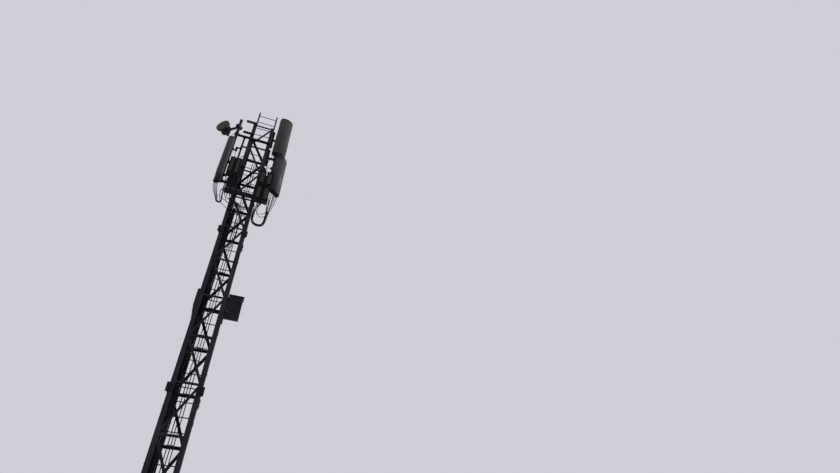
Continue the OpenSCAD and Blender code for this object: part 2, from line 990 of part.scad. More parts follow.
// Radio unit with its back on y = 0: a finned body between two end plates,
// with sockets below and a block behind that seats on an arm at seat_z
module radio(w, h, seat_z) {
    body_d = radio_d - radio_fin_d;
    translate([0, 0, radio_cap_t])
        linear_extrude(h - 2 * radio_cap_t)
            union() {
                translate([-w / 2, -body_d])
                    square([w, body_d]);
                for (i = [0 : radio_fins - 1])
                    translate([-w / 2 + i * (w - radio_fin_w) / (radio_fins - 1), -radio_d])
                        square([radio_fin_w, radio_d]);
            }
    for (z = [0, h - radio_cap_t])
        translate([-w / 2, -radio_d, z])
            cube([w, radio_d, radio_cap_t]);
    for (s = [-1, 1], y = [-radio_socket_edge, radio_socket_edge - radio_d])
        translate([s * (w / 2 - radio_socket_inset), y, -socket_h])
            cylinder(d = radio_socket_d, h = socket_h + eps, $fn = 24);
    translate([-arm_w / 2, -eps, seat_z - arm_w / 2])
        cube([arm_w, radio_standoff + eps, arm_w]);
}

// A pair of radio units side by side round mid_x, gap apart, with their
// lower ends at low_z and the arm that carries them seat_z above that
module radio_pair(mid_x, low_z, seat_z, w, h, gap) {
    color(radio_grey)
        for (c = [-1, 1])
            translate([mid_x + c * (w + gap) / 2, radio_back_y, low_z])
                radio(w, h, seat_z);
}

module radios_left_upper() {
    radio_pair(-left_high_pair_x, left_high_z, high_seat, mid_radio_w, left_high_h, left_radio_gap);
}

module radios_left_lower() {
    radio_pair(-left_low_pair_x, left_low_z, low_seat, slim_radio_w, left_low_h, left_radio_gap);
}

module radios_right_upper() {
    radio_pair(right_pair_x, right_radio_arm_z - right_high_sink, right_high_sink,
        radio_w, radio_h, radio_gap);
}

module radios_right_lower() {
    radio_pair(right_pair_x, deep_arm_z - right_low_sink, right_low_sink,
        radio_w, radio_h, radio_gap);
}

box_z = splice_z[1] + box_rise;
box_y = -150;
rail_t = 21;
rail_h = 41;
rail_inset = 100;
box_rail_z = [box_z + rail_inset, box_z + box_h - rail_inset];

// Equipment box: body, raised door and a rain lip
module side_box() {
    door_t = 6;
    door_margin = 14;
    door_head = 28;
    lip = 14;
    color(dark_steel)
        translate([half + rail_t, box_y - box_d / 2, box_z]) {
            cube([box_w, box_d, box_h]);
            translate([door_margin, -door_t, door_margin])
                cube([box_w - 2 * door_margin, door_t + eps, box_h - door_margin - door_head]);
            translate([0, -lip, box_h])
                cube([box_w + lip, box_d + lip, door_t]);
        }
}

module side_box_rails() {
    color(steel)
        for (z = box_rail_z)
            translate([half, -half, z - rail_h / 2])
                cube([rail_t, mast_w, rail_h]);
}

// Flat box on the left face, a little narrower than the mast
module flat_box() {
    side_inset = 20;
    end_inset = 10;
    color(olive)
        translate([-half - flat_box_t, -half + side_inset, box_z + box_h - end_inset - flat_box_h])
            cube([flat_box_t, mast_w - 2 * side_inset, flat_box_h]);
}

// Routes of the free cables, chosen by hand, with heights from the mast's
// top section line
loom_d = 44;
right_route = [
    [686, -219, -2340], [686, -219, -2430], [684, -220, -2530], [679, -222, -2630],
    [673, -224, -2730], [666, -226, -2830], [659, -229, -2930], [652, -234, -3030],
    [646, -241, -3130], [639, -249, -3230], [633, -258, -3330], [626, -267, -3420],
    [616, -276, -3504], [591, -284, -3584], [524, -294, -3636], [440, -305, -3639],
    [369, -317, -3594], [337, -331, -3516], [334, -349, -3430], [336, -366, -3340],
    [341, -388, -3240], [347, -409, -3140], [350, -424, -3060], [350, -424, -2980]
];
slim_loom_d = 24;
left_route = [
    [-688, -530, -2760], [-688, -530, -2835], [-681, -530, -2905], [-667, -530, -2975],
    [-648, -530, -3042], [-625, -528, -3108], [-602, -525, -3172], [-580, -521, -3234],
    [-561, -516, -3292], [-550, -511, -3340], [-542, -507, -3366], [-523, -502, -3386],
    [-497, -496, -3393], [-471, -491, -3386], [-452, -486, -3366], [-445, -481, -3340],
    [-445, -475, -3290], [-449, -469, -3230], [-455, -464, -3165], [-462, -459, -3095],
    [-469, -454, -3020], [-475, -450, -2945], [-479, -446, -2865], [-483, -442, -2785],
    [-487, -438, -2705], [-491, -435, -2625], [-495, -431, -2545], [-499, -428, -2465],
    [-503, -424, -2395], [-503, -424, -2335]
];

// Rings of a swept tube: points on a circle square to the route
function unit(v) = v / norm(v);
function heading(route, i) =
    i == 0 ? unit(route[1] - route[0])
    : i == len(route) - 1 ? unit(route[i] - route[i - 1])
    : unit(unit(route[i + 1] - route[i]) + unit(route[i] - route[i - 1]));
seam_axis = [0.35, 0.94, 0];
function side_axis(dir) = unit(cross(dir, seam_axis));
function ring(route, i, r, sides) =
    let (dir = heading(route, i), a = side_axis(dir), b = cross(dir, a))
    [for (k = [0 : sides - 1])
        route[i] + r * (cos(360 * k / sides) * a + sin(360 * k / sides) * b)];

module swept_tube(route, d, sides = 10) {
    n = len(route);
    points = [for (i = [0 : n - 1]) each ring(route, i, d / 2, sides)];
    walls = [for (i = [0 : n - 2], k = [0 : sides - 1])
        let (a = i * sides + k, b = i * sides + (k + 1) % sides)
        each [[a, b, b + sides], [a, b + sides, a + sides]]];
    ends = [
        [for (k = [sides - 1 : -1 : 0]) k],
        [for (k = [0 : sides - 1]) (n - 1) * sides + k]
    ];
    polyhedron(points, concat(walls, ends));
}

module jumper_loop_right() {
    color(cable_black)
        translate([0, 0, mast_h])
            swept_tube(right_route, loom_d);
}

module jumper_loop_left() {
    color(cable_black)
        translate([0, 0, mast_h])
            swept_tube(left_route, slim_loom_d);
}

base_plate();
base_gussets();
leg(-1, -1);  // leg_front_left
leg(1, -1);  // leg_front_right
leg(-1, 1);  // leg_back_left
leg(1, 1);  // leg_back_right
splices(0);  // splices_lower
splices(1);  // splices_middle
splices(2);  // splices_upper
bracing_front();
bracing_back();
bracing_left();
bracing_right();
ladder_rails();
ladder_rungs();
ladder_cleats();
cable_conduits();
feeder_cables();
light_cables();
cable_straps();
arm_main();
arm_deep();
arms_radio();
arms_offset();
arms_right();
pole_left();
pole_hanger();
pole_right();
pole_clamps();
hanger_box();
antenna_left();
antenna_upper();
antenna_lower();
antenna_end_caps();
antenna_brackets();
dish_reflector();
dish_radome();
dish_radio();
dish_bracket();
radios_left_upper();
radios_left_lower();
radios_right_upper();
radios_right_lower();
side_box();
side_box_rails();
flat_box();
jumper_loop_right();
jumper_loop_left();
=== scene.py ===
"""Looks of the slim lattice mast: cords, finishes, fixings, radomes and light."""

import json
import random
from itertools import product
from math import atan2, cos, hypot, pi, radians, sin, sqrt, tan

import bpy
from mathutils import Matrix, Vector


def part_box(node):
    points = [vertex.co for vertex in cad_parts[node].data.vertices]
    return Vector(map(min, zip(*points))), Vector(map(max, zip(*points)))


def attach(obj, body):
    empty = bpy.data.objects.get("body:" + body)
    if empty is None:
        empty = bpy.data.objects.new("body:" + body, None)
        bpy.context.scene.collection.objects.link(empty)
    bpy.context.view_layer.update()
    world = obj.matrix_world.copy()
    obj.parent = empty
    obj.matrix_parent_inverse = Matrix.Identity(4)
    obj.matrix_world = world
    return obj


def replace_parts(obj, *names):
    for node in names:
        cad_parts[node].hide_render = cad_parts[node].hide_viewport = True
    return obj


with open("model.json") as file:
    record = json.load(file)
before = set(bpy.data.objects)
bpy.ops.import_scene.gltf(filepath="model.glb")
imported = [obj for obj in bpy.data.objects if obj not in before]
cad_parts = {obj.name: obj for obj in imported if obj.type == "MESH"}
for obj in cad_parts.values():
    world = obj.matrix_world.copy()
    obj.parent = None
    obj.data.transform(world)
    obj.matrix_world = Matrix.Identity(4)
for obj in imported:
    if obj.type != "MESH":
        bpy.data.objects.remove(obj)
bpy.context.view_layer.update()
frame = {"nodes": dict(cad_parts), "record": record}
scene = bpy.context.scene
scene.view_settings.view_transform = "Standard"
SIDES = (-1, 1)


# Places of the mast's own pieces, read from the frame, in metres
def low(node):
    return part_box(node)[0]


def high(node):
    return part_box(node)[1]


def middle(node):
    return (low(node) + high(node)) / 2


def at(x, y, z):
    return Matrix.Translation((x, y, z))


def spun(angle, axis="Z"):
    return Matrix.Rotation(angle, 4, axis)


def link_object(name, data):
    made = bpy.data.objects.new(name, data)
    scene.collection.objects.link(made)
    return made


HALF = high("leg_back_right").x
LEG_TOP = high("leg_front_left").z
TOP_TAIL = 0.12
HEAD_Z = LEG_TOP - TOP_TAIL


# Camera of the photograph: under the mast, in front and a little to the right
FOCAL_PIXELS = 560.0
PHOTO_WIDTH = 840
SENSOR = 36.0
CAMERA_REACH = 300
CAMERA_PLACE = (0.55, -10.545, 1.96)
CAMERA_PITCH = radians(43.29)
CAMERA_HEADING = radians(21.9)
CAMERA_ROLL = radians(0.945)


def make_camera():
    data = bpy.data.cameras.new("camera")
    data.sensor_width = SENSOR
    data.lens = FOCAL_PIXELS / PHOTO_WIDTH * SENSOR
    data.clip_end = CAMERA_REACH
    camera = link_object("camera", data)
    tilt = spun(pi / 2 + CAMERA_PITCH, "X")
    camera.matrix_world = at(*CAMERA_PLACE) @ spun(-CAMERA_HEADING) @ tilt @ spun(-CAMERA_ROLL)
    scene.camera = camera


make_camera()


# Node-based finishes
SPECULAR = 0.15
MIX_FACTOR, MIX_A, MIX_B, MIX_RESULT = 0, 6, 7, 2
CRYSTALS_PER_METRE = 90.0
THREADS_PER_METRE = 120
RUST_DARK = (0.022, 0.009, 0.005)
RUST_LIGHT = (0.060, 0.024, 0.011)


def times(base, factor, plus=0.0):
    """The colour times a factor, plus a grey."""
    return tuple(c * factor + plus for c in base)


def feed(tree, node, inputs):
    """Give each of these inputs of a node its value or its link."""
    for name, value in inputs.items():
        if isinstance(value, bpy.types.NodeSocket):
            tree.links.new(value, node.inputs[name])
        else:
            node.inputs[name].default_value = value


def new_node(tree, kind, inputs, **settings):
    """A shader node with these settings and inputs."""
    node = tree.nodes.new("ShaderNode" + kind)
    for name, value in settings.items():
        setattr(node, name, value)
    feed(tree, node, inputs)
    return node


class Finish:
    """A material, and the nodes that colour it, in the piece's own coordinates."""

    def __init__(self, name, roughness=0.6, metallic=0.0):
        self.material = bpy.data.materials.new(name)
        self.material.use_nodes = True
        self.tree = self.material.node_tree
        self.shader = self.tree.nodes["Principled BSDF"]
        values = {"Metallic": metallic, "Roughness": roughness, "Specular IOR Level": SPECULAR}
        feed(self.tree, self.shader, values)
        self.place = self.node("TexCoord", {}).outputs["Object"]

    def node(self, kind, inputs, **settings):
        return new_node(self.tree, kind, inputs, **settings)

    def noise(self, scale, detail=4.0, roughness=0.55, stretch=None):
        """Cloudy values; stretch has a factor for the coordinates along each axis."""
        place = self.place
        if stretch:
            place = self.node("Mapping", {"Vector": place, "Scale": stretch}).outputs["Vector"]
        inputs = {"Vector": place, "Scale": scale, "Detail": detail, "Roughness": roughness}
        return self.node("TexNoise", inputs).outputs["Fac"]

    def ramp(self, value, *stops):
        """Colours, or grey values, at places from 0 to 1."""
        node = self.node("ValToRGB", {"Fac": value})
        elements = node.color_ramp.elements
        elements[0].position = stops[0][0]
        elements[1].position = stops[-1][0]
        for place, _ in stops[1:-1]:
            elements.new(place)
        for element, (_, colour) in zip(elements, stops):
            element.color = (colour,) * 3 + (1,) if isinstance(colour, float) else (*colour, 1)
        return node.outputs["Color"]

    def mix(self, share, a, b, blend="MIX"):
        """Colour a, with colour b over it by the share."""
        over = b if isinstance(b, bpy.types.NodeSocket) else (*b, 1)
        inputs = {MIX_FACTOR: share, MIX_A: a, MIX_B: over}
        return self.node("Mix", inputs, data_type="RGBA", blend_type=blend).outputs[MIX_RESULT]

    def over(self, tone, colour, value, start, end, share=1.0):
        """The tone, with a colour over it where the value passes from start to end."""
        return self.mix(self.ramp(value, (start, 0.0), (end, share)), tone, colour)

    def relief(self, height, strength, depth):
        """Relief of that depth in metres, over any relief already there."""
        inputs = {"Height": height, "Strength": strength, "Distance": depth}
        normal = self.shader.inputs["Normal"]
        if normal.links:
            inputs["Normal"] = normal.links[0].from_socket
        self.tree.links.new(self.node("Bump", inputs).outputs["Normal"], normal)

    def surface(self, tone, value, *stops):
        """Lead the colour, and a roughness that follows the value, into the shader."""
        feed(self.tree, self.shader, {"Base Color": tone, "Roughness": self.ramp(value, *stops)})


def weathered_metal(name, base, metallic, roughness, rust):
    """Zinc-coated or painted steel: crystals, run-off streaks, dirt and rust."""
    made = Finish(name, metallic=metallic)
    light = times(base, 2.2)
    crystals = made.node("TexVoronoi", {"Vector": made.place, "Scale": CRYSTALS_PER_METRE})
    patches = made.noise(2.6)
    streaks = made.noise(1.6, stretch=(14, 14, 0.9))
    grain = made.noise(160, 3)
    tone = made.ramp(patches, (0.3, times(base, 0.50)), (0.52, base), (0.75, light))
    tone = made.mix(0.30, tone, crystals.outputs["Color"], "OVERLAY")
    run_off = made.ramp(streaks, (0.35, times(base, 0.62)), (0.6, light))
    tone = made.mix(0.42, tone, run_off)
    bloom = made.noise(6.0, 8, 0.62)
    rust_tone = made.ramp(grain, (0.3, RUST_DARK), (0.7, RUST_LIGHT))
    tone = made.over(tone, rust_tone, bloom, 0.66 - rust * 0.1, 0.78 - rust * 0.1, 0.8)
    made.surface(tone, patches, (0.3, roughness - 0.1), (0.7, roughness + 0.14))
    made.relief(bloom, 0.25, 0.0008)
    made.relief(grain, 0.3, 0.0003)
    return made.material


def jacket(name, base, roughness):
    """Extruded cable jacket, dusty and scuffed."""
    made = Finish(name, roughness)
    scuffs = made.noise(4, 6, 0.6, stretch=(30, 30, 5))
    tone = made.ramp(made.noise(9, 5), (0.35, base), (0.8, times(base, 2.0, 0.002)))
    tone = made.over(tone, times(base, 1.6, 0.006), scuffs, 0.55, 0.75, 0.5)
    made.surface(tone, scuffs, (0.3, roughness - 0.08), (0.75, roughness + 0.2))
    made.relief(scuffs, 0.2, 0.0004)
    return made.material


def moulded(name, base, grime, roughness):
    """Moulded shell: fine grain, run-off streaks and grime from above."""
    made = Finish(name, roughness)
    patches = made.noise(3.2, 5)
    streaks = made.noise(1.4, 6, stretch=(26, 26, 1.1))
    specks = made.noise(70, 4)
    tone = made.ramp(patches, (0.3, times(base, 0.8)), (0.7, times(base, 1.1)))
    tone = made.over(tone, grime, streaks, 0.42, 0.78, 0.55)
    tone = made.over(tone, grime, specks, 0.6, 0.75, 0.6)
    made.surface(tone, patches, (0.3, roughness - 0.08), (0.7, roughness + 0.12))
    made.relief(made.noise(420, 2), 0.25, 0.0003)
    made.relief(specks, 0.12, 0.0005)
    return made.material


def painted(name, base, chips, metallic=0.0):
    """Sprayed paint with orange peel, fading, streaks and chips to bare metal."""
    roughness = 0.5
    made = Finish(name, roughness, metallic)
    fade = made.noise(2.2, 4)
    streaks = made.noise(1.7, 6, stretch=(22, 22, 1.2))
    flakes = made.noise(24, 9, 0.66)
    tone = made.ramp(fade, (0.3, times(base, 0.72)), (0.72, times(base, 1.3)))
    tone = made.over(tone, times(base, 0.5), streaks, 0.4, 0.75, 0.5)
    tone = made.over(tone, chips, flakes, 0.66, 0.7)
    made.surface(tone, fade, (0.3, roughness - 0.08), (0.7, roughness + 0.15))
    made.relief(made.noise(260, 2), 0.2, 0.0002)
    made.relief(flakes, 0.15, 0.0004)
    return made.material


def woven(name, base):
    """Stretched radome fabric with a fine square weave under paint."""
    made = Finish(name, 0.7)
    patches = made.noise(5, 5)
    tone = made.ramp(patches, (0.3, times(base, 0.75)), (0.7, times(base, 1.15)))
    feed(made.tree, made.shader, {"Base Color": tone})
    threads = [
        made.node(
            "TexWave", {"Vector": made.place, "Scale": THREADS_PER_METRE}, bands_direction=direction,
        ).outputs["Fac"]
        for direction in ("X", "Z")
    ]
    made.relief(made.mix(0.5, *threads), 0.3, 0.0004)
    made.relief(patches, 0.2, 0.002)
    return made.material


# All base colours here are kept near black, much darker than zinc-coated steel, moulded radomes and paint
# really are: the shade of the backlit mast is painted into them
FINISH = {
    name: make(name, *values)
    for name, make, *values in (
        ("galvanized_leg", weathered_metal, (0.0150, 0.0157, 0.0195), 0.35, 0.52, 0.25),
        ("galvanized_brace", weathered_metal, (0.0115, 0.0119, 0.0145), 0.35, 0.56, 0.3),
        ("dark_steel", weathered_metal, (0.0085, 0.0086, 0.0103), 0.3, 0.56, 0.3),
        ("bracket_steel", weathered_metal, (0.0160, 0.0166, 0.0195), 0.4, 0.5, 0.2),
        ("strap_steel", weathered_metal, (0.030, 0.030, 0.034), 0.6, 0.42, 0.2),
        ("cable_jacket", jacket, (0.0045, 0.0045, 0.0052), 0.55),
        ("radome_light", moulded, (0.042, 0.0445, 0.0385), (0.026, 0.027, 0.023), 0.62),
        # radome_dark: the radome made darker and bluer, painted shade and painted sky light for the lower
        # antenna
        ("radome_dark", moulded, (0.0260, 0.0280, 0.0350), (0.013, 0.014, 0.015), 0.55),
        # end_cap: made darker still, with painted shade from the ends of the antennas in its colour
        ("end_cap", moulded, (0.0052, 0.0052, 0.0060), (0.014, 0.014, 0.013), 0.5),
        ("radio_shell", painted, (0.0125, 0.0133, 0.0140), (0.03, 0.03, 0.03), 0.1),
        ("dish_shell", painted, (0.0130, 0.0135, 0.0110), (0.010, 0.009, 0.008)),
        ("dish_radome", woven, (0.050, 0.052, 0.038)),
        ("box_dark", painted, (0.0068, 0.0068, 0.0082), (0.020, 0.013, 0.010)),
        ("box_olive", painted, (0.0140, 0.0138, 0.0088), (0.018, 0.015, 0.012)),
    )
}
# The radio covers are kept dark too, with the same painted shade in their colour
COVER_TONE = painted("radio_cover", (0.027, 0.028, 0.029), (0.015, 0.015, 0.015))


# Meshes
def new_piece(name, data, slot, tone=None):
    """A piece of the mast in the finish of its slot, or in a tone of its own."""
    data.materials.append(tone or FINISH[slot])
    made = link_object(name, data)
    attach(made, "root")
    return made


class Shape:
    """Vertices and faces of one piece, gathered from many small solids."""

    def __init__(self):
        self.points = []
        self.faces = []

    def loft(self, rings, place, caps=True):
        """Skin over rings of equal length, closed by a face at both ends."""
        n = len(rings[0])
        last = (len(rings) - 1) * n
        faces = [
            (r + i, r + (i + 1) % n, r + n + (i + 1) % n, r + n + i)
            for r in range(0, last, n)
            for i in range(n)
        ]
        if caps:
            faces += [tuple(reversed(range(n))), tuple(range(last, last + n))]
        start = len(self.points)
        self.points += [place @ Vector(point) for ring in rings for point in ring]
        self.faces += [[start + i for i in face] for face in faces]

    def turned(self, profile, sides, place):
        """Solid of revolution round Z from (radius, height) pairs."""
        self.loft([circle(radius, sides, height) for radius, height in profile], place)

    def piece(self, name, slot, smooth=35, tone=None):
        """The piece itself, with edges sharper than that many degrees kept sharp."""
        mesh = bpy.data.meshes.new(name)
        mesh.from_pydata([tuple(point) for point in self.points], [], self.faces)
        mesh.polygons.foreach_set("use_smooth", [True] * len(mesh.polygons))
        mesh.set_sharp_from_angle(angle=radians(smooth))
        return new_piece(name, mesh, slot, tone)


def circle(radius, sides, height):
    steps = [2 * pi * i / sides for i in range(sides)]
    return [(radius * cos(a), radius * sin(a), height) for a in steps]


def aimed(place, axis):
    """Matrix that stands +Z along the axis at the place."""
    return at(*place) @ Vector(axis).to_track_quat("Z", "Y").to_matrix().to_4x4()


# Sizes and places that the construction gives, in metres
LEG_W = 0.090
LEG_T = 0.009
BRACE_T = 0.005
BOLT_LINE = HALF - LEG_W / 2
SPLICE_Z = (3.0, 7.0, 11.0)
SPLICE_T = 0.010
SPLICE_H = 0.185
SPLICE_LUG = 0.048
PANEL = 1.0
PANELS = 15
FIRST_NODE = 0.13
FACE_NODES = [FIRST_NODE + i * PANEL for i in range(PANELS)] + [LEG_TOP - 0.06]
SIDE_NODES = [FIRST_NODE + 0.075] + [(a + b) / 2 for a, b in zip(FACE_NODES, FACE_NODES[1:])]
PLATE_T = 0.025
ANCHOR = 0.33
RAIL_W = 0.040
LADDER_Y = (low("ladder_rails").y + high("ladder_rails").y) / 2
RAIL_X = high("ladder_rails").x - RAIL_W / 2
LADDER_TOP = high("ladder_rails").z
RUNG_PITCH = 0.30
RUNG_R = 0.010
RUNGS = 54
CLEAT_T = 0.006
ARM_W = 0.050
DEEP_ARM_H = 0.12
ARM_FRONT = -HALF - ARM_W
MAIN_ARM_Z = middle("arm_main").z
DEEP_ARM_Z = middle("arm_deep").z
LOW_ARM_Z = 12.50
HIGH_ARM_Z = 13.23
RIGHT_ARM_Z = 12.605
STUBS_Z = (14.59, 15.08)
CROSS_Z = (13.40, 14.15, 14.95)
POLE_R = 0.038
HANGER_R = 0.024
SEAT = 0.0003
LEFT_POLE = Vector((-0.615, ARM_FRONT - POLE_R - SEAT, 0))
RIGHT_POLE = Vector((0.515, 0, 0))
HANGER = Vector((-0.405, -HALF + HANGER_R + SEAT, 0))
SOCKET_H = 0.030
FEEDER_X = (-0.170, -0.141, -0.112)
FEEDER_Y = (0.2127, 0.1837)
FEEDER_TOP = high("feeder_cables").z
LIGHT_X = (-0.038, 0.014, 0.066)
LIGHT_Y = 0.2167
LIGHT_TOP = high("light_cables").z
chance = random.Random(11)


class Antenna:
    """Panel antenna: where its pole is, how it is turned and how large it is."""

    SOCKET_INSET = 0.035

    def __init__(self, node, pole, turn, gap, size, base, foot, sockets):
        self.node, self.pole, self.turn, self.gap = node, pole, radians(turn), gap
        self.w, self.d, self.h = size
        self.base, self.foot, self.sockets = base, foot, sockets

    def at_pole(self, z):
        return at(self.pole.x, self.pole.y, z) @ spun(self.turn)

    def place(self, z):
        """Matrix at the middle of the back plane."""
        return self.at_pole(z) @ at(0, -POLE_R - self.gap, 0)

    def socket_points(self):
        """Lower ends of the sockets below the antenna."""
        pitch = (self.w - 2 * self.SOCKET_INSET) / (self.sockets - 1)
        foot = self.place(self.base - self.foot - SOCKET_H)
        return [
            foot @ Vector((-self.w / 2 + self.SOCKET_INSET + i * pitch, -self.d / 4, 0))
            for i in range(self.sockets)
        ]


LEFT = Antenna("antenna_left", LEFT_POLE, -25, 0.085, (0.170, 0.100, 1.43), 12.49, 0.25, 4)
UPPER = Antenna("antenna_upper", RIGHT_POLE, 15, 0.112, (0.365, 0.160, 1.51), 14.145, 0.04, 6)
LOWER = Antenna("antenna_lower", RIGHT_POLE, 38, 0.160, (0.365, 0.160, 1.29), 12.70, 0.04, 6)


class RadioPair:
    """Two finned radio units side by side: their places and sizes."""

    DEPTH = 0.130
    STANDOFF = 0.024
    SOCKET_INSET = 0.030
    SOCKET_EDGE = 0.026

    def __init__(self, name, mid_x, base, w, h, gap):
        self.name, self.base, self.w, self.h = name, base, w, h
        self.back = ARM_FRONT - self.STANDOFF
        self.front = self.back - self.DEPTH
        self.centres = [mid_x + side * (w + gap) / 2 for side in SIDES]

    def socket_points(self):
        """Lower ends of the sockets, from left to right, the rear one of each two first."""
        rows = (self.back - self.SOCKET_EDGE, self.front + self.SOCKET_EDGE)
        return [
            Vector((x + side * (self.w / 2 - self.SOCKET_INSET), y, self.base - SOCKET_H))
            for x, side, y in product(self.centres, SIDES, rows)
        ]


LEFT_HIGH = RadioPair("left_upper", -0.410, 12.665, 0.134, 0.63, 0.006)
LEFT_LOW = RadioPair("left_lower", -0.335, 12.08, 0.118, 0.55, 0.006)
RIGHT_HIGH = RadioPair("right_upper", 0.405, 12.58, 0.160, 0.50, 0.016)
RIGHT_LOW = RadioPair("right_lower", 0.405, 12.02, 0.160, 0.50, 0.016)


# Cords: each strand of a loop follows the loop's route at an offset of its own
def in_metres(points, raised=0.0):
    """Vectors from points in millimetres, raised by a height in metres."""
    return [Vector((x / 1000, y / 1000, z / 1000 + raised)) for x, y, z in points]


HEAD = Vector((0, 0, HEAD_Z))
RIGHT_ROUTE = in_metres([
    (686, -219, -2340), (686, -219, -2430), (684, -220, -2530), (679, -222, -2630), (673, -224, -2730),
    (666, -226, -2830), (659, -229, -2930), (652, -234, -3030), (646, -241, -3130), (639, -249, -3230),
    (633, -258, -3330), (626, -267, -3420), (616, -276, -3504), (591, -284, -3584), (524, -294, -3636),
    (440, -305, -3639), (369, -317, -3594), (337, -331, -3516), (334, -349, -3430), (336, -366, -3340),
    (341, -388, -3240), (347, -409, -3140), (350, -424, -3060), (350, -424, -2980),
])
LEFT_ROUTE = in_metres([
    (-688, -530, -2760), (-688, -530, -2835), (-681, -530, -2905), (-667, -530, -2975), (-648, -530, -3042),
    (-625, -528, -3108), (-602, -525, -3172), (-580, -521, -3234), (-561, -516, -3292), (-550, -511, -3340),
    (-542, -507, -3366), (-523, -502, -3386), (-497, -496, -3393), (-471, -491, -3386), (-452, -486, -3366),
    (-445, -481, -3340), (-445, -475, -3290), (-449, -469, -3230), (-455, -464, -3165), (-462, -459, -3095),
    (-469, -454, -3020), (-475, -450, -2945), (-479, -446, -2865), (-483, -442, -2785), (-487, -438, -2705),
    (-491, -435, -2625), (-495, -431, -2545), (-499, -428, -2465), (-503, -424, -2395), (-503, -424, -2335),
])
GATHERED = 0.42
REJOINING = 0.86
LOOSENESS = 0.15
LOOSE_WAVE = 7


def eased(x):
    """0 to 1 with a soft start and end."""
    x = min(max(x, 0), 1)
    return x * x * (3 - 2 * x)


def strand_line(route, top, bottom, side, across):
    """Line of one strand: from its own top, in the bundle at an offset, to its own end."""
    last = len(route) - 1
    line = []
    for i, point in enumerate(route):
        along = (route[min(i + 1, last)] - route[max(i - 1, 0)]).normalized()
        beside = (Vector((0, 1, 0)) - along * along.y).normalized()
        outward = along.cross(beside)
        share = i / last
        spread = 1 - eased(share / GATHERED)
        rejoin = eased((share - REJOINING) / (1 - REJOINING))
        loose = 1 + LOOSENESS * sin(share * LOOSE_WAVE + side)
        bundle = (outward * across[0] + beside * across[1]) * loose
        line.append(point + HEAD + (bundle * (1 - rejoin)).lerp(top, spread) + bottom * rejoin)
    return line


def cord_piece(name, line, diameter):
    """A smooth curve through the points, bevelled to the cord's size."""
    data = bpy.data.curves.new(name, "CURVE")
    data.dimensions = "3D"
    data.resolution_u = 6
    data.bevel_depth = diameter / 2
    data.bevel_resolution = 3
    data.use_fill_caps = True
    spline = data.splines.new("BEZIER")
    spline.bezier_points.add(len(line) - 1)
    for point, place in zip(spline.bezier_points, line):
        point.co = place
        point.handle_left_type = point.handle_right_type = "AUTO"
    return new_piece(name, data, "cable_jacket")


def free_cord(name, line, diameter, node=None):
    """A free cord along the line; the node that it stands for, if given, is hidden."""
    line = [Vector(point) for point in line]
    made = cord_piece(name, line, diameter)
    if node:
        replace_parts(made, node)


def make_loop(name, node, route, starts, ends, order, diameter, gather):
    """The strands of one loop of jumper cables, placed in the bundle so that none crosses another.

    Along the row of sockets that they start from, the places in the ring follow each other too, and
    order gives the end socket of each strand.
    """
    step = 2 * pi / len(starts)
    row = atan2(starts[-1].y - starts[0].y, starts[-1].x - starts[0].x)
    ring = sorted(((i + 0.75) * step for i in range(len(starts))), key=cos)
    first, last = route[0] + HEAD, route[-1] + HEAD
    for k, start in enumerate(starts):
        angle = row + ring[k]
        across = (gather * cos(angle), gather * sin(angle))
        line = strand_line(route, start - first, ends[order[k]] - last, k, across)
        free_cord(f"{name}_{k + 1}", line, diameter, node)


WIDE_STRAND_D = 0.0175
SLIM_STRAND_D = 0.0155
WIDE_GATHER = 0.024
SLIM_GATHER = 0.0125
THIN_D = 0.013
JUMPER_D = 0.0135
POWER_D = 0.017
POWER_TOP = 12.052
DISH_CORD_D = 0.012
BOOT_L = 0.050
EARTH_LUGS = ((-0.252, 11.8365), (-0.252, 11.6520))

right_low_sockets = RIGHT_LOW.socket_points()
left_high_sockets = LEFT_HIGH.socket_points()
left_low_sockets = LEFT_LOW.socket_points()
make_loop(
    "jumper_right", "jumper_loop_right", RIGHT_ROUTE,
    LOWER.socket_points(), right_low_sockets, (5, 3, 4, 1, 2, 0), WIDE_STRAND_D, WIDE_GATHER,
)
make_loop(
    "jumper_left", "jumper_loop_left", LEFT_ROUTE,
    LEFT.socket_points(), left_high_sockets, (2, 3, 0, 1), SLIM_STRAND_D, SLIM_GATHER,
)
free_cord("remote_tilt_cable_1", in_metres([
    (640, -262, 12660), (640, -264, 12580), (637, -275, 12450), (631, -288, 12300), (625, -298, 12150),
    (618, -304, 12000), (610, -307, 11880), (592, -308, 11800), (555, -309, 11750), (500, -310, 11720),
    (444, -313, 11715), (398, -321, 11740), (379, -335, 11795), (376, -353, 11862), (380, -379, 11932),
    (386, -408, 11985), (388, -424, 12020),
]), THIN_D)
free_cord("remote_tilt_cable_2", in_metres([
    (706, -232, 12660), (706, -234, 12580), (701, -243, 12450), (692, -257, 12300), (680, -271, 12150),
    (665, -283, 12000), (648, -293, 11870), (627, -301, 11750), (590, -307, 11665), (535, -310, 11630),
    (475, -313, 11635), (422, -319, 11680), (408, -331, 11752), (404, -350, 11830), (404, -373, 11903),
    (411, -401, 11968), (420, -424, 12020),
]), THIN_D)
free_cord("earth_lead_1", in_metres([
    (-467, -308, 12250), (-485, -309, 12250), (-506, -310, 12246), (-524, -312, 12234), (-536, -315, 12216),
    (-541, -319, 12192), (-542, -324, 12140), (-538, -331, 12070), (-525, -339, 12000), (-502, -345, 11945),
    (-466, -347, 11905), (-424, -345, 11880), (-384, -337, 11866), (-344, -324, 11856), (-308, -309, 11848),
    (-284, -298.5, 11842), (-266, -293.5, 11838.5), (-252, -292.5, 11836.5),
]), THIN_D)
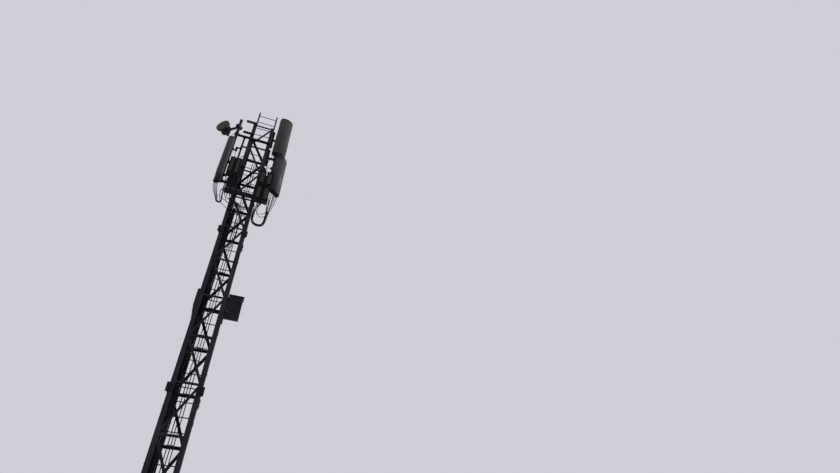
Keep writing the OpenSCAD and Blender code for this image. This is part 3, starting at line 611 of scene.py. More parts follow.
free_cord("earth_lead_2", in_metres([
    (-467, -314, 12222), (-479, -315, 12222), (-500, -319, 12218), (-517, -325, 12206), (-529, -332, 12189),
    (-534, -339, 12165), (-534, -346, 12110), (-531, -353, 12030), (-524, -359, 11945), (-510, -363, 11865),
    (-483, -364, 11795), (-448, -362, 11740), (-408, -356, 11702), (-370, -343, 11680), (-333, -324, 11666),
    (-302, -306.5, 11658), (-274, -295.2, 11653.5), (-252, -292.5, 11652),
]), THIN_D)
CONNECTOR_H = 0.044
REAR_ASIDE = 0.0145
REAR_OVER = 0.032
CROSSING_Y = -0.290


def arch(foot):
    """Up out of a feeder's connector, over, and forwards, the rear row between and over the front row."""
    x, y = foot
    top = FEEDER_TOP + CONNECTOR_H
    aside, over = (REAR_ASIDE, REAR_OVER) if y == FEEDER_Y[0] else (0.0, 0.0)
    crest = top + over
    return [
        (x, y, top), (x, y, crest + 0.058), (x + 0.004 + 0.3 * aside, y - 0.022, crest + 0.105),
        (x + 0.010 + aside, y - 0.066, crest + 0.123), (x + 0.018 + aside, y - 0.112, crest + 0.100),
    ]


def feeder_jumper(name, foot, crossing_x, socket, dip):
    """Jumper from the top of a heavy feeder, out through the front face, up to a radio unit."""
    deep = socket.z - dip
    line = arch(foot)
    start = Vector(line[-1]) + Vector((0.010, -0.042, -0.066))
    end = Vector((crossing_x, -0.190, deep + 0.030))
    line += [start.lerp(end, s) - Vector((0, 0, 0.05 * s * (1 - s))) for s in (0, 0.3, 0.6, 0.85, 1)]
    for share_x, share_y, rise in (
        (0.0, 0.0, 0.0), (0.30, 0.36, -0.008), (0.62, 0.62, 0.0), (0.86, 0.80, 0.024), (0.97, 0.95, 0.060),
        (1.0, 1.0, min(0.098, dip - 0.022)),
    ):
        x = crossing_x + (socket.x - crossing_x) * share_x
        line.append((x, CROSSING_Y + (socket.y - CROSSING_Y) * share_y, deep + rise))
    free_cord(name, line + [socket], JUMPER_D)


for jumper, (column, row, crossing, end_socket, dip) in enumerate((
    (0, 1, -0.088, left_low_sockets[0], 0.130), (1, 1, -0.062, left_low_sockets[4], 0.165),
    (0, 0, -0.020, left_low_sockets[6], 0.215), (1, 0, 0.010, left_low_sockets[2], 0.285),
)):
    feeder_jumper(f"feeder_jumper_{jumper + 1}", (FEEDER_X[column], FEEDER_Y[row]), crossing, end_socket, dip)

CLIP_X = 0.349
CLIP_Y = (-0.196, -0.214)
RISE_FOOT = 12.52
RISE_TOP = 13.80
RISE_STEP = 0.16
STRAIGHT_END = 0.052


def antenna_riser(name, k, foot, socket):
    """Jumper that sags through the mast, then goes up beside the right leg to the upper antenna."""
    line = arch(foot)
    line += in_metres([
        (-70, 28, 12188), (-34, -4, 12112), (12, -30, 12040), (64, -58, 11984), (119, -90, 11956),
        (170, -124, 11965), (209, -151, 12012), (235, -167, 12076), (258, -176, 12142), (285, -179, 12206),
    ], 0.045 * k)
    line += [
        (0.315, -0.178 - 0.016 * k, 12.262 + 0.042 * k), (0.338, -0.186 - 0.020 * k, 12.332 + 0.030 * k),
        (CLIP_X - 0.001, CLIP_Y[k] + 0.003, 12.420 + 0.016 * k),
    ]
    rise = RISE_FOOT
    while rise < RISE_TOP:
        line.append((CLIP_X, CLIP_Y[k], rise))
        rise += RISE_STEP
    climb = socket.z - STRAIGHT_END - RISE_TOP
    for share in (0.0, 0.2, 0.4, 0.6, 0.8, 1.0):
        ease = eased(share)
        x = CLIP_X + (socket.x - CLIP_X) * ease
        line.append((x, CLIP_Y[k] + (socket.y - CLIP_Y[k]) * ease, RISE_TOP + climb * share))
    free_cord(name, line + [socket], JUMPER_D)


upper_sockets = UPPER.socket_points()
antenna_riser("antenna_riser_1", 0, (FEEDER_X[2], FEEDER_Y[1]), upper_sockets[1])
antenna_riser("antenna_riser_2", 1, (FEEDER_X[2], FEEDER_Y[0]), upper_sockets[0])


def light_start(x):
    """A radio lead's first two points, straight up out of its light cable's seal."""
    return [(x, LIGHT_Y, LIGHT_TOP + rise) for rise in (0.030, 0.075)]


def power_start(socket):
    """A power cable's first point, inside the boot of its socket."""
    return [(socket.x, socket.y, POWER_TOP)]


free_cord("radio_lead_right", light_start(LIGHT_X[2]) + in_metres([
    (71, 205, 14055), (84, 175, 14078), (104, 130, 14070), (130, 70, 14030), (160, 0, 13965),
    (194, -65, 13885), (230, -113, 13812), (267, -142, 13757), (306, -156, 13713), (344, -165, 13670),
    (374, -182, 13618), (388, -210, 13553), (388, -249, 13472), (379, -294, 13382), (366, -336, 13296),
    (354, -371, 13215), (347, -393, 13145), (346, -398, 13078),
]), THIN_D)
free_cord("radio_lead_left", light_start(LIGHT_X[0]) + in_metres([
    (-42, 206, 14054), (-50, 178, 14076), (-60, 136, 14068), (-70, 78, 14024), (-80, 10, 13945),
    (-90, -65, 13850), (-101, -140, 13755), (-116, -212, 13668), (-140, -272, 13600), (-176, -318, 13560),
    (-222, -350, 13545), (-268, -373, 13530), (-306, -388, 13495), (-330, -396, 13440), (-339, -400, 13370),
    (-340, -400, 13293),
]), THIN_D)
free_cord("power_cable_1", power_start(left_low_sockets[5]) + in_metres([
    (-302, -463, 11985), (-298, -460, 11910), (-286, -450, 11835), (-262, -432, 11770), (-226, -405, 11725),
    (-180, -368, 11700), (-130, -322, 11690), (-82, -268, 11680), (-45, -205, 11660), (-22, -135, 11625),
    (-10, -60, 11570), (-8, 15, 11495), (-14, 85, 11400), (-22, 140, 11290), (-26, 175, 11180),
    (-24, 192, 11080), (-16, 199.5, 10980), (-12, 202, 10880),
]), POWER_D)
free_cord("power_cable_2", power_start(left_low_sockets[7]) + in_metres([
    (-244, -463, 11990), (-238, -459, 11925), (-222, -446, 11862), (-194, -424, 11812), (-155, -390, 11785),
    (-108, -345, 11775), (-58, -290, 11770), (-12, -228, 11755), (25, -158, 11720), (50, -85, 11665),
    (62, -10, 11590), (64, 60, 11495), (58, 120, 11380), (50, 162, 11260), (44, 186, 11140),
    (40, 197.5, 11020), (40, 202, 10900),
]), POWER_D)
free_cord("dish_cable", in_metres([
    (-850.6, -317.4, 14365), (-850.6, -317.4, 14325), (-847, -317, 14288), (-832, -316, 14258),
    (-808, -315, 14240), (-780, -314, 14236), (-755, -312.5, 14246), (-737, -311.5, 14270),
    (-727, -310.5, 14302), (-720, -310, 14338), (-708, -310, 14368), (-692, -310, 14385),
    (-676, -310, 14390),
]), DISH_CORD_D)
free_cord("hanger_box_cable", in_metres([
    (-512.5, -260.7, 13800), (-512.5, -261, 13750), (-508, -266, 13690), (-498, -278, 13620),
    (-488, -298, 13540), (-480, -325, 13460), (-476, -356, 13390), (-475, -388, 13335), (-476, -404, 13312),
    (-477, -410, 13295),
]), THIN_D)


# Held cables: the feeders sway a little between their straps
FEEDER_D = 0.0284
LIGHT_D = 0.018
EARTH_D = 0.010
EARTH_OFFSET = 0.0195
EARTH_TOP = FEEDER_TOP - 0.15
HELD_STEP = 0.25
SWAY = 0.0018


def held_cable(name, node, x, y, top, diameter):
    """Cable strapped to the rear bracing, nearly straight."""
    steps = round((top - PLATE_T) / HELD_STEP)
    phase = chance.uniform(0, 6)
    line = []
    for i in range(steps + 1):
        calm = min(1, min(i, steps - i) / 2)
        line.append(Vector((
            x + SWAY * calm * sin(i * 1.9 + phase),
            y + SWAY * 0.5 * calm * sin(i * 1.3 + phase * 2) - SWAY * 0.5 * calm,
            PLATE_T + (top - PLATE_T) * i / steps,
        )))
    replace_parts(cord_piece(name, line, diameter), node)


for (c, x), (r, y) in product(enumerate(FEEDER_X, 1), enumerate(FEEDER_Y, 1)):
    held_cable(f"feeder_{c}_{r}", "feeder_cables", x, y, FEEDER_TOP, FEEDER_D)
for r, y in enumerate(FEEDER_Y, 1):
    x = FEEDER_X[0] - EARTH_OFFSET
    held_cable(f"earth_conductor_{r}", "feeder_cables", x, y, EARTH_TOP, EARTH_D)
for c, x in enumerate(LIGHT_X, 1):
    held_cable(f"light_cable_{c}", "light_cables", x, LIGHT_Y, LIGHT_TOP, LIGHT_D)


# CAD nodes keep their shape and get the finish of their slot and softened edges
SLOTS = {row["node"]: row["material_slot"] for row in frame["record"]["subparts"]}
EDGE = {
    "leg": 0.0012, "splices": 0.0012, "base": 0.002, "arm": 0.0025, "side_box": 0.003, "flat_box": 0.003,
    "ladder_rails": 0.003, "ladder_cleats": 0.0008, "antenna_end": 0.003, "antenna_brackets": 0.0015,
    "pole_clamps": 0.001, "dish_radio": 0.0008, "dish_bracket": 0.002, "radios": 0.0008, "hanger_box": 0.002,
}
WELD_REACH = 0.00001
BEVEL_ANGLE = radians(40)


def dress(node, shape):
    shape.data.materials.clear()
    shape.data.materials.append(FINISH[SLOTS[node]])
    width = next((width for start, width in EDGE.items() if node.startswith(start)), None)
    if width:
        shape.modifiers.new("weld", "WELD").merge_threshold = WELD_REACH
        bevel = shape.modifiers.new("bevel", "BEVEL")
        bevel.width = width
        bevel.segments = 2
        bevel.limit_method = "ANGLE"
        bevel.angle_limit = BEVEL_ANGLE
        bevel.use_clamp_overlap = True


for node_name, node_shape in frame["nodes"].items():
    dress(node_name, node_shape)


# Fixings
FRONT = Vector((0, -1, 0))
REAR = Vector((0, 1, 0))
UP = Vector((0, 0, 1))
OUTWARD = (1, 0, 0)


class Bolt:
    """Hexagon bolt: radii and heights of thread, hexagon, head, nut and washer, from its diameter."""

    def __init__(self, d):
        self.thread_r = d / 2
        self.hexagon_r = d * 1.5 / sqrt(3)
        self.head_h = d * 0.64
        self.nut_h = d * 0.85
        self.washer_r = d
        self.washer_t = d * 0.2
        self.tail = d * 0.45

    def end(self, shape, place, axis, height, tail=0.0):
        """Washer and hexagon on the surface at the place, and a thread end over them."""
        stand = aimed(place, axis)
        foot = self.washer_t
        top = foot + height
        shape.turned([(self.washer_r, 0), (self.washer_r, foot)], 12, stand)
        spin = spun(chance.uniform(0, pi / 3))
        r = self.hexagon_r
        shape.turned([(r, foot), (r, foot + height * 0.82), (r * 0.84, top)], 6, stand @ spin)
        if tail:
            r = self.thread_r
            shape.turned([(r, top), (r, top + tail), (r * 0.8, top + tail * 1.2)], 8, stand)

    def head(self, shape, place, axis):
        self.end(shape, place, axis, self.head_h)

    def nut(self, shape, place, axis, tail=0.0):
        self.end(shape, place, axis, self.nut_h, tail)

    def through(self, shape, place, axis, grip):
        """Head at the place, nut and thread end behind the grip."""
        axis = Vector(axis)
        self.head(shape, place, axis)
        self.nut(shape, Vector(place) - axis * grip, -axis, self.tail)


M5 = Bolt(0.005)
M8 = Bolt(0.008)
M10 = Bolt(0.010)
M12 = Bolt(0.012)
M16 = Bolt(0.016)
M24 = Bolt(0.024)
LEAD_IN = 0.045
ARM_REACH = 0.04
DEEP_REACH = 0.075
SPLICE_REACH = SPLICE_H / 2 + 0.012


def is_blocked(quarter, side, z):
    """True where an arm or a splice plate lies over that place of a leg."""
    arms = [(splice, SPLICE_REACH) for splice in SPLICE_Z]
    if quarter == 0:
        arms += [(DEEP_ARM_Z, DEEP_REACH), (MAIN_ARM_Z, ARM_REACH)]
        heights = (LOW_ARM_Z, HIGH_ARM_Z, *STUBS_Z) if side < 0 else (RIGHT_ARM_Z,)
        arms += [(height, ARM_REACH) for height in heights]
    if quarter == 1:
        arms += [(height, ARM_REACH) for height in CROSS_Z]
    return any(abs(z - height) < reach for height, reach in arms)


def bracing_bolts(name, quarter, heights, phase):
    """Bolts through leg and bracing at each node of one face, and at each diagonal's ends."""
    shape = Shape()
    turn = spun(quarter * pi / 2)
    places = [(side, side * BOLT_LINE, z) for z, side in product(heights, SIDES)]
    for i, (a, b) in enumerate(zip(heights, heights[1:])):
        length = hypot(b - a, 2 * BOLT_LINE)
        step_x = LEAD_IN * 2 * BOLT_LINE / length
        step_z = LEAD_IN * (b - a) / length
        ends = (a + step_z, b - step_z)
        left_z, right_z = ends if (i + phase) % 2 == 0 else reversed(ends)
        places += [(-1, -BOLT_LINE + step_x, left_z), (1, BOLT_LINE - step_x, right_z)]
    for side, x, z in places:
        if not is_blocked(quarter, side, z):
            M10.through(shape, turn @ Vector((x, -HALF, z)), turn @ FRONT, LEG_T + BRACE_T)
    shape.piece(name, "bracket_steel")


bracing_bolts("bolts_front", 0, FACE_NODES, 0)
bracing_bolts("bolts_right", 1, SIDE_NODES, 1)
bracing_bolts("bolts_back", 2, FACE_NODES, 0)
bracing_bolts("bolts_left", 3, SIDE_NODES, 0)
SPLICE_ROWS = (-0.066, -0.026, 0.026, 0.066)
LUG_ROWS = (-0.022, 0.022)
LUG_EDGE = 0.018


def splice_bolts():
    """Four bolts on each splice plate and two through each lug of the front corners."""
    shape = Shape()
    grip = SPLICE_T + LEG_T
    for level, sx in product(SPLICE_Z, SIDES):
        for sy, dz in product(SIDES, SPLICE_ROWS):
            z = level + dz
            M16.through(shape, (sx * BOLT_LINE, sy * (HALF + SPLICE_T), z), (0, sy, 0), grip)
            M16.through(shape, (sx * (HALF + SPLICE_T), sy * BOLT_LINE, z), (sx, 0, 0), grip)
        for dz in LUG_ROWS:
            x = sx * (HALF + SPLICE_LUG - LUG_EDGE)
            M16.through(shape, (x, -HALF - SPLICE_T, level + dz), FRONT, 2 * SPLICE_T)
    shape.piece("splice_bolts", "bracket_steel")


splice_bolts()


CORNER_STEPS = 4


def rounded(corners):
    """Outline whose corners (x, y, radius) are rounded off."""
    outline = []
    for i, (x, y, radius) in enumerate(corners):
        if radius == 0:
            outline.append((x, y))
            continue
        here = Vector((x, y))
        before = (Vector(corners[i - 1][:2]) - here).normalized()
        after = (Vector(corners[(i + 1) % len(corners)][:2]) - here).normalized()
        half_angle = before.angle(after) / 2
        start = here + before * radius / tan(half_angle)
        end = here + after * radius / tan(half_angle)
        centre = here + (before + after).normalized() * radius / sin(half_angle)
        for k in range(CORNER_STEPS + 1):
            spoke = (start.lerp(end, k / CORNER_STEPS) - centre).normalized()
            outline.append(tuple(centre + spoke * radius))
    return outline


def block(shape, width, depth, height, corner, place, soft=0.0015):
    """Block with rounded upright edges and softened ends, standing on the place."""
    x, y = width / 2, depth / 2
    outline = rounded([(x, y, corner), (-x, y, corner), (-x, -y, corner), (x, -y, corner)])
    rings = []
    for z, inset in ((0, soft), (soft, 0), (height - soft, 0), (height, soft)):
        rings.append([(x * (1 - 2 * inset / width), y * (1 - 2 * inset / depth), z) for x, y in outline])
    shape.loft(rings, place)


def rod(shape, start, end, radius, sides=8):
    """Straight rod with softened ends."""
    start, end = Vector(start), Vector(end)
    length = (end - start).length
    soft = min(radius * 0.25, length / 4)
    profile = [(radius - soft, 0), (radius, soft), (radius, length - soft), (radius - soft, length)]
    shape.turned(profile, sides, aimed(start, end - start))


PLATE_WASHER_W = 0.060
PLATE_WASHER_T = 0.008
ANCHOR_TAIL = 0.030


def anchor_nuts():
    """Holding-down bolts with plate washers, double nuts and thread ends."""
    shape = Shape()
    for sx, sy in product(SIDES, SIDES):
        place = Vector((sx * ANCHOR, sy * ANCHOR, PLATE_T))
        block(shape, PLATE_WASHER_W, PLATE_WASHER_W, PLATE_WASHER_T, 0.004, at(*place))
        place.z += PLATE_WASHER_T
        M24.nut(shape, place, UP)
        place.z += M24.nut_h
        M24.nut(shape, place, UP, ANCHOR_TAIL)
    shape.piece("anchor_nuts", "bracket_steel")


anchor_nuts()
TOP_RUNG = 0.15
CLEAT_ROWS = (-0.014, 0.014)


def ladder_fixings():
    """Bolts of the cleats and weld beads at the rungs."""
    shape = Shape()
    for z, sx, dz in product(SIDE_NODES[1::2], SIDES, CLEAT_ROWS):
        outer = sx * (RAIL_X + RAIL_W / 2 + CLEAT_T)
        M12.head(shape, (outer, LADDER_Y, z + dz * 1.1), (sx, 0, 0))
        M12.head(shape, (sx * BOLT_LINE, HALF + CLEAT_T, z + dz), REAR)
    shape.piece("cleat_bolts", "bracket_steel")
    welds = Shape()
    inner = RAIL_X - RAIL_W / 2
    bead = [(RUNG_R + 0.0038, 0), (RUNG_R + 0.0024, 0.0022), (RUNG_R + 0.0003, 0.0055)]
    for i, sx in product(range(RUNGS), SIDES):
        place = (sx * inner, LADDER_Y, LADDER_TOP - TOP_RUNG - i * RUNG_PITCH)
        welds.turned(bead, 10, aimed(place, (-sx, 0, 0)))
    welds.piece("rung_welds", "dark_steel")


ladder_fixings()
DEEP_ROWS = (-0.034, 0.034)


def arm_fixings():
    """Bolts of the head arms through the legs, and plugs in the open tube ends."""
    shape = Shape()
    grip = ARM_W + LEG_T
    places = [(-BOLT_LINE, z) for z in (LOW_ARM_Z, HIGH_ARM_Z, *STUBS_Z, MAIN_ARM_Z)]
    places += [(BOLT_LINE, z) for z in (MAIN_ARM_Z, RIGHT_ARM_Z)]
    places += [(sx * BOLT_LINE, DEEP_ARM_Z + dz) for sx, dz in product(SIDES, DEEP_ROWS)]
    for x, z in places:
        M16.through(shape, (x, ARM_FRONT, z), FRONT, grip)
    for z, sy in product(CROSS_Z, SIDES):
        M16.through(shape, (HALF + ARM_W, sy * BOLT_LINE, z), OUTWARD, grip)
    shape.piece("arm_bolts", "bracket_steel")
    plugs = Shape()
    ends = [(low("arm_main").x, z, -1, ARM_W) for z in (MAIN_ARM_Z, LOW_ARM_Z, HIGH_ARM_Z)]
    ends += [(low("arms_offset").x, z, -1, ARM_W) for z in STUBS_Z]
    ends += [(HALF, MAIN_ARM_Z, 1, ARM_W), (high("arms_radio").x, RIGHT_ARM_Z, 1, ARM_W)]
    ends += [(low("arm_deep").x, DEEP_ARM_Z, -1, DEEP_ARM_H), (high("arm_deep").x, DEEP_ARM_Z, 1, DEEP_ARM_H)]
    for x, z, sx, tall in ends:
        stand = aimed((x, ARM_FRONT + ARM_W / 2, z), (sx, 0, 0))
        axis_up = stand.to_3x3().inverted() @ UP
        wide, deep = (tall, ARM_W) if abs(axis_up.x) > 0.5 else (ARM_W, tall)
        block(plugs, wide - 0.001, deep - 0.001, 0.0035, 0.004, stand)
        block(plugs, wide - 0.020, deep - 0.020, 0.0050, 0.006, stand)
    plugs.piece("arm_plugs", "end_cap")


arm_fixings()
CLAMP_T = 0.008
CLAMP_X = 0.0560
HANGER_CLAMP_X = 0.0435
JAW = 0.058
CLAMP_ROD_X = 0.0442
CLAMP_ROD_R = 0.005
CLAMP_ROD_ROWS = (-0.015, 0.015)
PLATE_SCREW_X = 0.034
PLATE_SCREW_Y = 0.006
PLATE_SCREW_ROWS = (-0.044, 0.044)
CAP_H = 0.018
BRACKETS = ((LEFT, 12.69), (LEFT, 13.72), (UPPER, 14.345), (UPPER, 15.335), (LOWER, 12.90), (LOWER, 13.79))
POLES = (
    (LEFT_POLE, POLE_R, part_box("pole_left")), (RIGHT_POLE, POLE_R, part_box("pole_right")),
    (HANGER, HANGER_R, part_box("pole_hanger")),
)


def pole_fixings():
    """Bolts of the pole clamps, threaded rods of the antenna brackets, and pole caps."""
    shape = Shape()
    for z, side in product((LOW_ARM_Z, HIGH_ARM_Z, MAIN_ARM_Z), SIDES):
        M12.nut(shape, (LEFT_POLE.x + side * CLAMP_X, ARM_FRONT - CLAMP_T, z), FRONT, M12.tail)
    for z, side in product((HIGH_ARM_Z, MAIN_ARM_Z), SIDES):
        M8.nut(shape, (HANGER.x + side * HANGER_CLAMP_X, -HALF + CLAMP_T, z), REAR, M8.tail)
    for z, side in product(CROSS_Z, SIDES):
        M12.nut(shape, (RIGHT_POLE.x - POLE_R - SEAT + CLAMP_T, side * CLAMP_X, z), OUTWARD, M12.tail)
    for antenna, z in BRACKETS:
        for side, dz in product(SIDES, CLAMP_ROD_ROWS):
            stand = antenna.at_pole(z + dz)
            back = stand @ Vector((side * CLAMP_ROD_X, JAW, 0))
            front = stand @ Vector((side * CLAMP_ROD_X, -JAW, 0))
            axis = (back - front).normalized()
            rod(shape, front - axis * 0.018, back + axis * 0.030, CLAMP_ROD_R)
            M8.nut(shape, back, axis)
            M8.nut(shape, front, -axis)
        for side, dz in product(SIDES, PLATE_SCREW_ROWS):
            plate = antenna.place(z + dz) @ Vector((side * PLATE_SCREW_X, PLATE_SCREW_Y, 0))
            M8.head(shape, plate, antenna.place(z).to_3x3() @ REAR)
    shape.piece("pole_bolts", "bracket_steel")
    caps = Shape()
    for pole, radius, (bottom, top) in POLES:
        r = radius + 0.0015
        profile = [(r, 0), (r, 0.019), (r * 0.93, 0.0215), (r * 0.7, 0.024), (r * 0.3, 0.0255)]
        for z, up in ((top.z, 1), (bottom.z, -1)):
            caps.turned(profile, 24, aimed((pole.x, pole.y, z - up * CAP_H), (0, 0, up)))
    caps.piece("pole_caps", "end_cap")


pole_fixings()


# Antennas
# Height of the dark sleeve on the lower antenna's top, which is painted shadow of the upper antenna
SHADOW_SLEEVE_H = 0.095
EDGE_SCREW = [(0.0045, 0), (0.0045, 0.002), (0.003, 0.0032)]
COLLAR_R, PLUG_R, BOOT_R = 0.013, 0.012, 0.0125


def radome_section(width, depth, inset):
    """D-shaped section with its back on y = 0 and a curved front, drawn in by the inset."""
    bulge = depth * 0.45
    arc = (width * width / 4 + bulge * bulge) / (2 * bulge)
    steps = 14
    front = [-width / 2 + width * k / steps for k in range(1, steps)]
    front = [(x, arc - depth - sqrt(arc * arc - x * x), 0) for x in front]
    half, side = width / 2, -(depth - bulge)
    corners = [(-half, 0, 0.010), (-half, side, 0.016), *front, (half, side, 0.016), (half, 0, 0.010)]
    across, along = 1 - 2 * inset / width, 1 - 2 * inset / depth
    return [(x * across, (y + depth / 2) * along - depth / 2) for x, y in rounded(corners)]


def sleeve(shape, antenna, z, profile):
    """Skin round an antenna's section from (height, inset) pairs above z."""
    rings = [
        [(x, y, height) for x, y in radome_section(antenna.w, antenna.d, inset)]
        for height, inset in profile
    ]
    shape.loft(rings, antenna.place(z))


def radome(antenna, slot):
    """Moulded shell with soft ends and a groove where each end cap is let in."""
    profile = [(0, 0.003), (0.003, 0), (0.020, 0), (0.0215, 0.0018), (0.025, 0.0018), (0.0265, 0)]
    profile += [(antenna.h - z, inset) for z, inset in reversed(profile)]
    shape = Shape()
    sleeve(shape, antenna, antenna.base, profile)
    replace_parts(shape.piece(f"radome_{antenna.node.split('_')[1]}", slot, 50), antenna.node)


def cap_fixings(collars, boots):
    """Bands of the long foot, a dark sleeve on the lower antenna's top that is painted shadow of the upper
    antenna, screws of the end caps, collars, plugs and boots.
    """
    bands = Shape()
    for z in (LEFT.base - 0.004, LEFT.base - 0.130, LEFT.base - LEFT.foot + 0.012):
        sleeve(bands, LEFT, z, ((-0.006, 0.0052), (-0.005, 0.0035), (0.005, 0.0035), (0.006, 0.0052)))
    # Painted shadow: a dark sleeve round the top of the lower antenna stands for the shade under the upper
    # antenna
    sleeve(bands, LOWER, LOWER.base + LOWER.h, (
        (-SHADOW_SLEEVE_H, 0.0002), (0.002 - SHADOW_SLEEVE_H, -0.0011), (-0.003, -0.0011), (0.0004, 0.0006),
    ))
    for antenna in (LEFT, UPPER, LOWER):
        heights = (antenna.base - 0.020, antenna.base + antenna.h + 0.020)
        for z, side, y in product(heights, SIDES, (-0.25, -0.45)):
            stand = antenna.place(z)
            place = stand @ Vector((side * (antenna.w / 2 - 0.005), y * antenna.d, 0))
            bands.turned(EDGE_SCREW, 10, aimed(place, stand.to_3x3() @ Vector((side, 0, 0))))
        cord_d = {LEFT: SLIM_STRAND_D, UPPER: JUMPER_D, LOWER: WIDE_STRAND_D}[antenna]
        for k, point in enumerate(antenna.socket_points()):
            socket_collar(collars, point, COLLAR_R)
            if antenna is UPPER and k > 1:
                blind_plug(collars, point, PLUG_R)
            else:
                boot(boots, point, BOOT_R, cord_d)
    bands.piece("cap_bands_and_shadow_sleeve", "end_cap")


def socket_collar(shape, point, radius):
    """Flange and knurled nut on a socket that points down, given its lower end."""
    stand = at(*point)
    flange, nut, edge = radius * 1.32, radius * 1.20, radius * 1.10
    shape.turned([(flange, SOCKET_H - 0.004), (flange, SOCKET_H - 0.0003)], 20, stand)
    shape.turned([(edge, 0.004), (nut, 0.006), (nut, 0.019), (edge, 0.021)], 12, stand)


def blind_plug(shape, point, radius):
    """Closed cap on a socket that is not in use."""
    profile = [(radius * 0.5, -0.010), (radius * 0.95, -0.008), (radius, 0.0), (radius, 0.003)]
    shape.turned(profile, 16, at(*point))


def boot(shape, point, radius, cord_d):
    """Tapered rubber boot from a socket down to its cable."""
    slim = cord_d / 2 * 1.12
    profile = [(slim, -BOOT_L)]
    for i in range(1, 5):
        share = i / 5
        ring = slim + (radius - slim) * share
        z = -BOOT_L * (1 - share)
        profile += [(ring * 0.97, z), (ring * 1.07, z + 0.003), (ring * 1.07, z + 0.006)]
    profile += [(radius, -0.004), (radius, 0.003)]
    shape.turned(profile, 14, at(*point))


# The lower antenna's radome_dark is the radome of radome_light with painted shade and a painted bluish sky
# light in its colour
for panel, finish in ((LEFT, "radome_light"), (UPPER, "radome_light"), (LOWER, "radome_dark")):
    radome(panel, finish)
socket_parts, cord_boots = Shape(), Shape()
cap_fixings(socket_parts, cord_boots)


# Radio units
SCREW_SHARES = (-0.42, -0.14, 0.14, 0.42)
SCREW_EDGE = 0.005
HANDLE_R = 0.005
HANDLE_H = 0.028
HANDLE_FORWARD = 0.030
STRUT_R = 0.006
STRUT_EDGE = 0.012
STRUT_END = 0.06
RADIO_COLLAR_R, RADIO_PLUG_R, RADIO_BOOT_R = 0.0105, 0.0098, 0.0104


def radio_details(pair, cover_w, cover_span, handles):
    """Front covers, screws, handles and struts of a pair of radio units."""
    covers, steel = Shape(), Shape()
    start, end = cover_span
    wide, tall = cover_w * pair.w, (end - start) * pair.h
    cover_z = pair.base + (start + end) / 2 * pair.h
    top = pair.base + pair.h
    reach = pair.w * 0.32
    for x in pair.centres:
        place = at(x, pair.front + 0.001, cover_z) @ spun(pi / 2, "X")
        block(covers, wide, tall, 0.011, 0.014, place, 0.003)
        block(covers, wide * 0.72, tall * 0.86, 0.0135, 0.010, place, 0.002)
        for z, share in product((pair.base + SCREW_EDGE, top - SCREW_EDGE), SCREW_SHARES):
            M5.head(steel, (x + share * pair.w, pair.front, z), FRONT)
        if handles:
            y = pair.front + HANDLE_FORWARD
            bar_z = top + HANDLE_H
            for side in SIDES:
                rod(steel, (x + side * reach, y, top - 0.001), (x + side * reach, y, bar_z), HANDLE_R)
            rod(steel, (x - reach - 0.003, y, bar_z), (x + reach + 0.003, y, bar_z), HANDLE_R)
        for side in SIDES:
            foot = Vector((x + side * (pair.w / 2 - STRUT_EDGE), pair.back + 0.001, pair.base + STRUT_END))
            rod(steel, foot, (foot.x, foot.y, top - STRUT_END), STRUT_R)
    covers.piece(f"covers_{pair.name}", "radio_shell", tone=COVER_TONE)
    steel.piece(f"screws_{pair.name}", "bracket_steel")


def mounting_channels():
    """Folded channels behind the gap between the right radio units, which they hang on."""
    shape = Shape()
    x = (RIGHT_HIGH.centres[0] + RIGHT_HIGH.centres[1]) / 2
    top = RIGHT_HIGH.base + RIGHT_HIGH.h - 0.02
    base = RIGHT_LOW.base + 0.02
    outline = rounded([
        (0.034, 0.0, 0.004), (-0.034, 0.0, 0.004), (-0.034, -0.019, 0), (-0.031, -0.019, 0),
        (-0.031, -0.003, 0), (0.031, -0.003, 0), (0.031, -0.019, 0), (0.034, -0.019, 0),
    ])
    shape.loft([[(px, py, z) for px, py in outline] for z in (0, top - base)], at(x, ARM_FRONT - 0.002, base))
    for z in (DEEP_ARM_Z, RIGHT_ARM_Z):
        M12.head(shape, (x, ARM_FRONT - 0.005, z), FRONT)
    shape.piece("radio_channel", "bracket_steel")


mounting_channels()
radio_details(LEFT_HIGH, 0.44, (0.10, 0.93), True)
radio_details(LEFT_LOW, 0.80, (0.07, 0.20), False)
radio_details(RIGHT_HIGH, 0.50, (0.12, 0.88), True)
radio_details(RIGHT_LOW, 0.50, (0.12, 0.88), False)
used = right_low_sockets[:6] + left_high_sockets[:4] + left_low_sockets
spare = left_high_sockets[4:] + right_low_sockets[6:] + RIGHT_HIGH.socket_points()
for point in used + spare:
    socket_collar(socket_parts, point, RADIO_COLLAR_R)
for point in used:
    boot(cord_boots, point, RADIO_BOOT_R, SLIM_STRAND_D)
for point in spare:
    blind_plug(socket_parts, point, RADIO_PLUG_R)
socket_parts.piece("socket_collars", "strap_steel")
cord_boots.piece("socket_boots", "cable_jacket")


# Link dish
DISH_R = 0.375 / 2
DISH_TURN = radians(-38)
DISH_BACK = 0.291
DISH_SIDE = 0.290
REFLECTOR_DEPTH = 0.135
SHROUD = 0.060
HUB_R = 0.060
RIBS = 12
RIB_R = 0.0035
CLASPS = 6
DISH_Z = MAIN_ARM_Z + 0.080
BRACKET_Z = DISH_Z + 0.130
DISH_ROD_ROWS = (0.022, 0.078)
DISH_ROD_Y = (-0.057, 0.057)
DISH_ROD_R = 0.006
ROUND_SIDES = 72


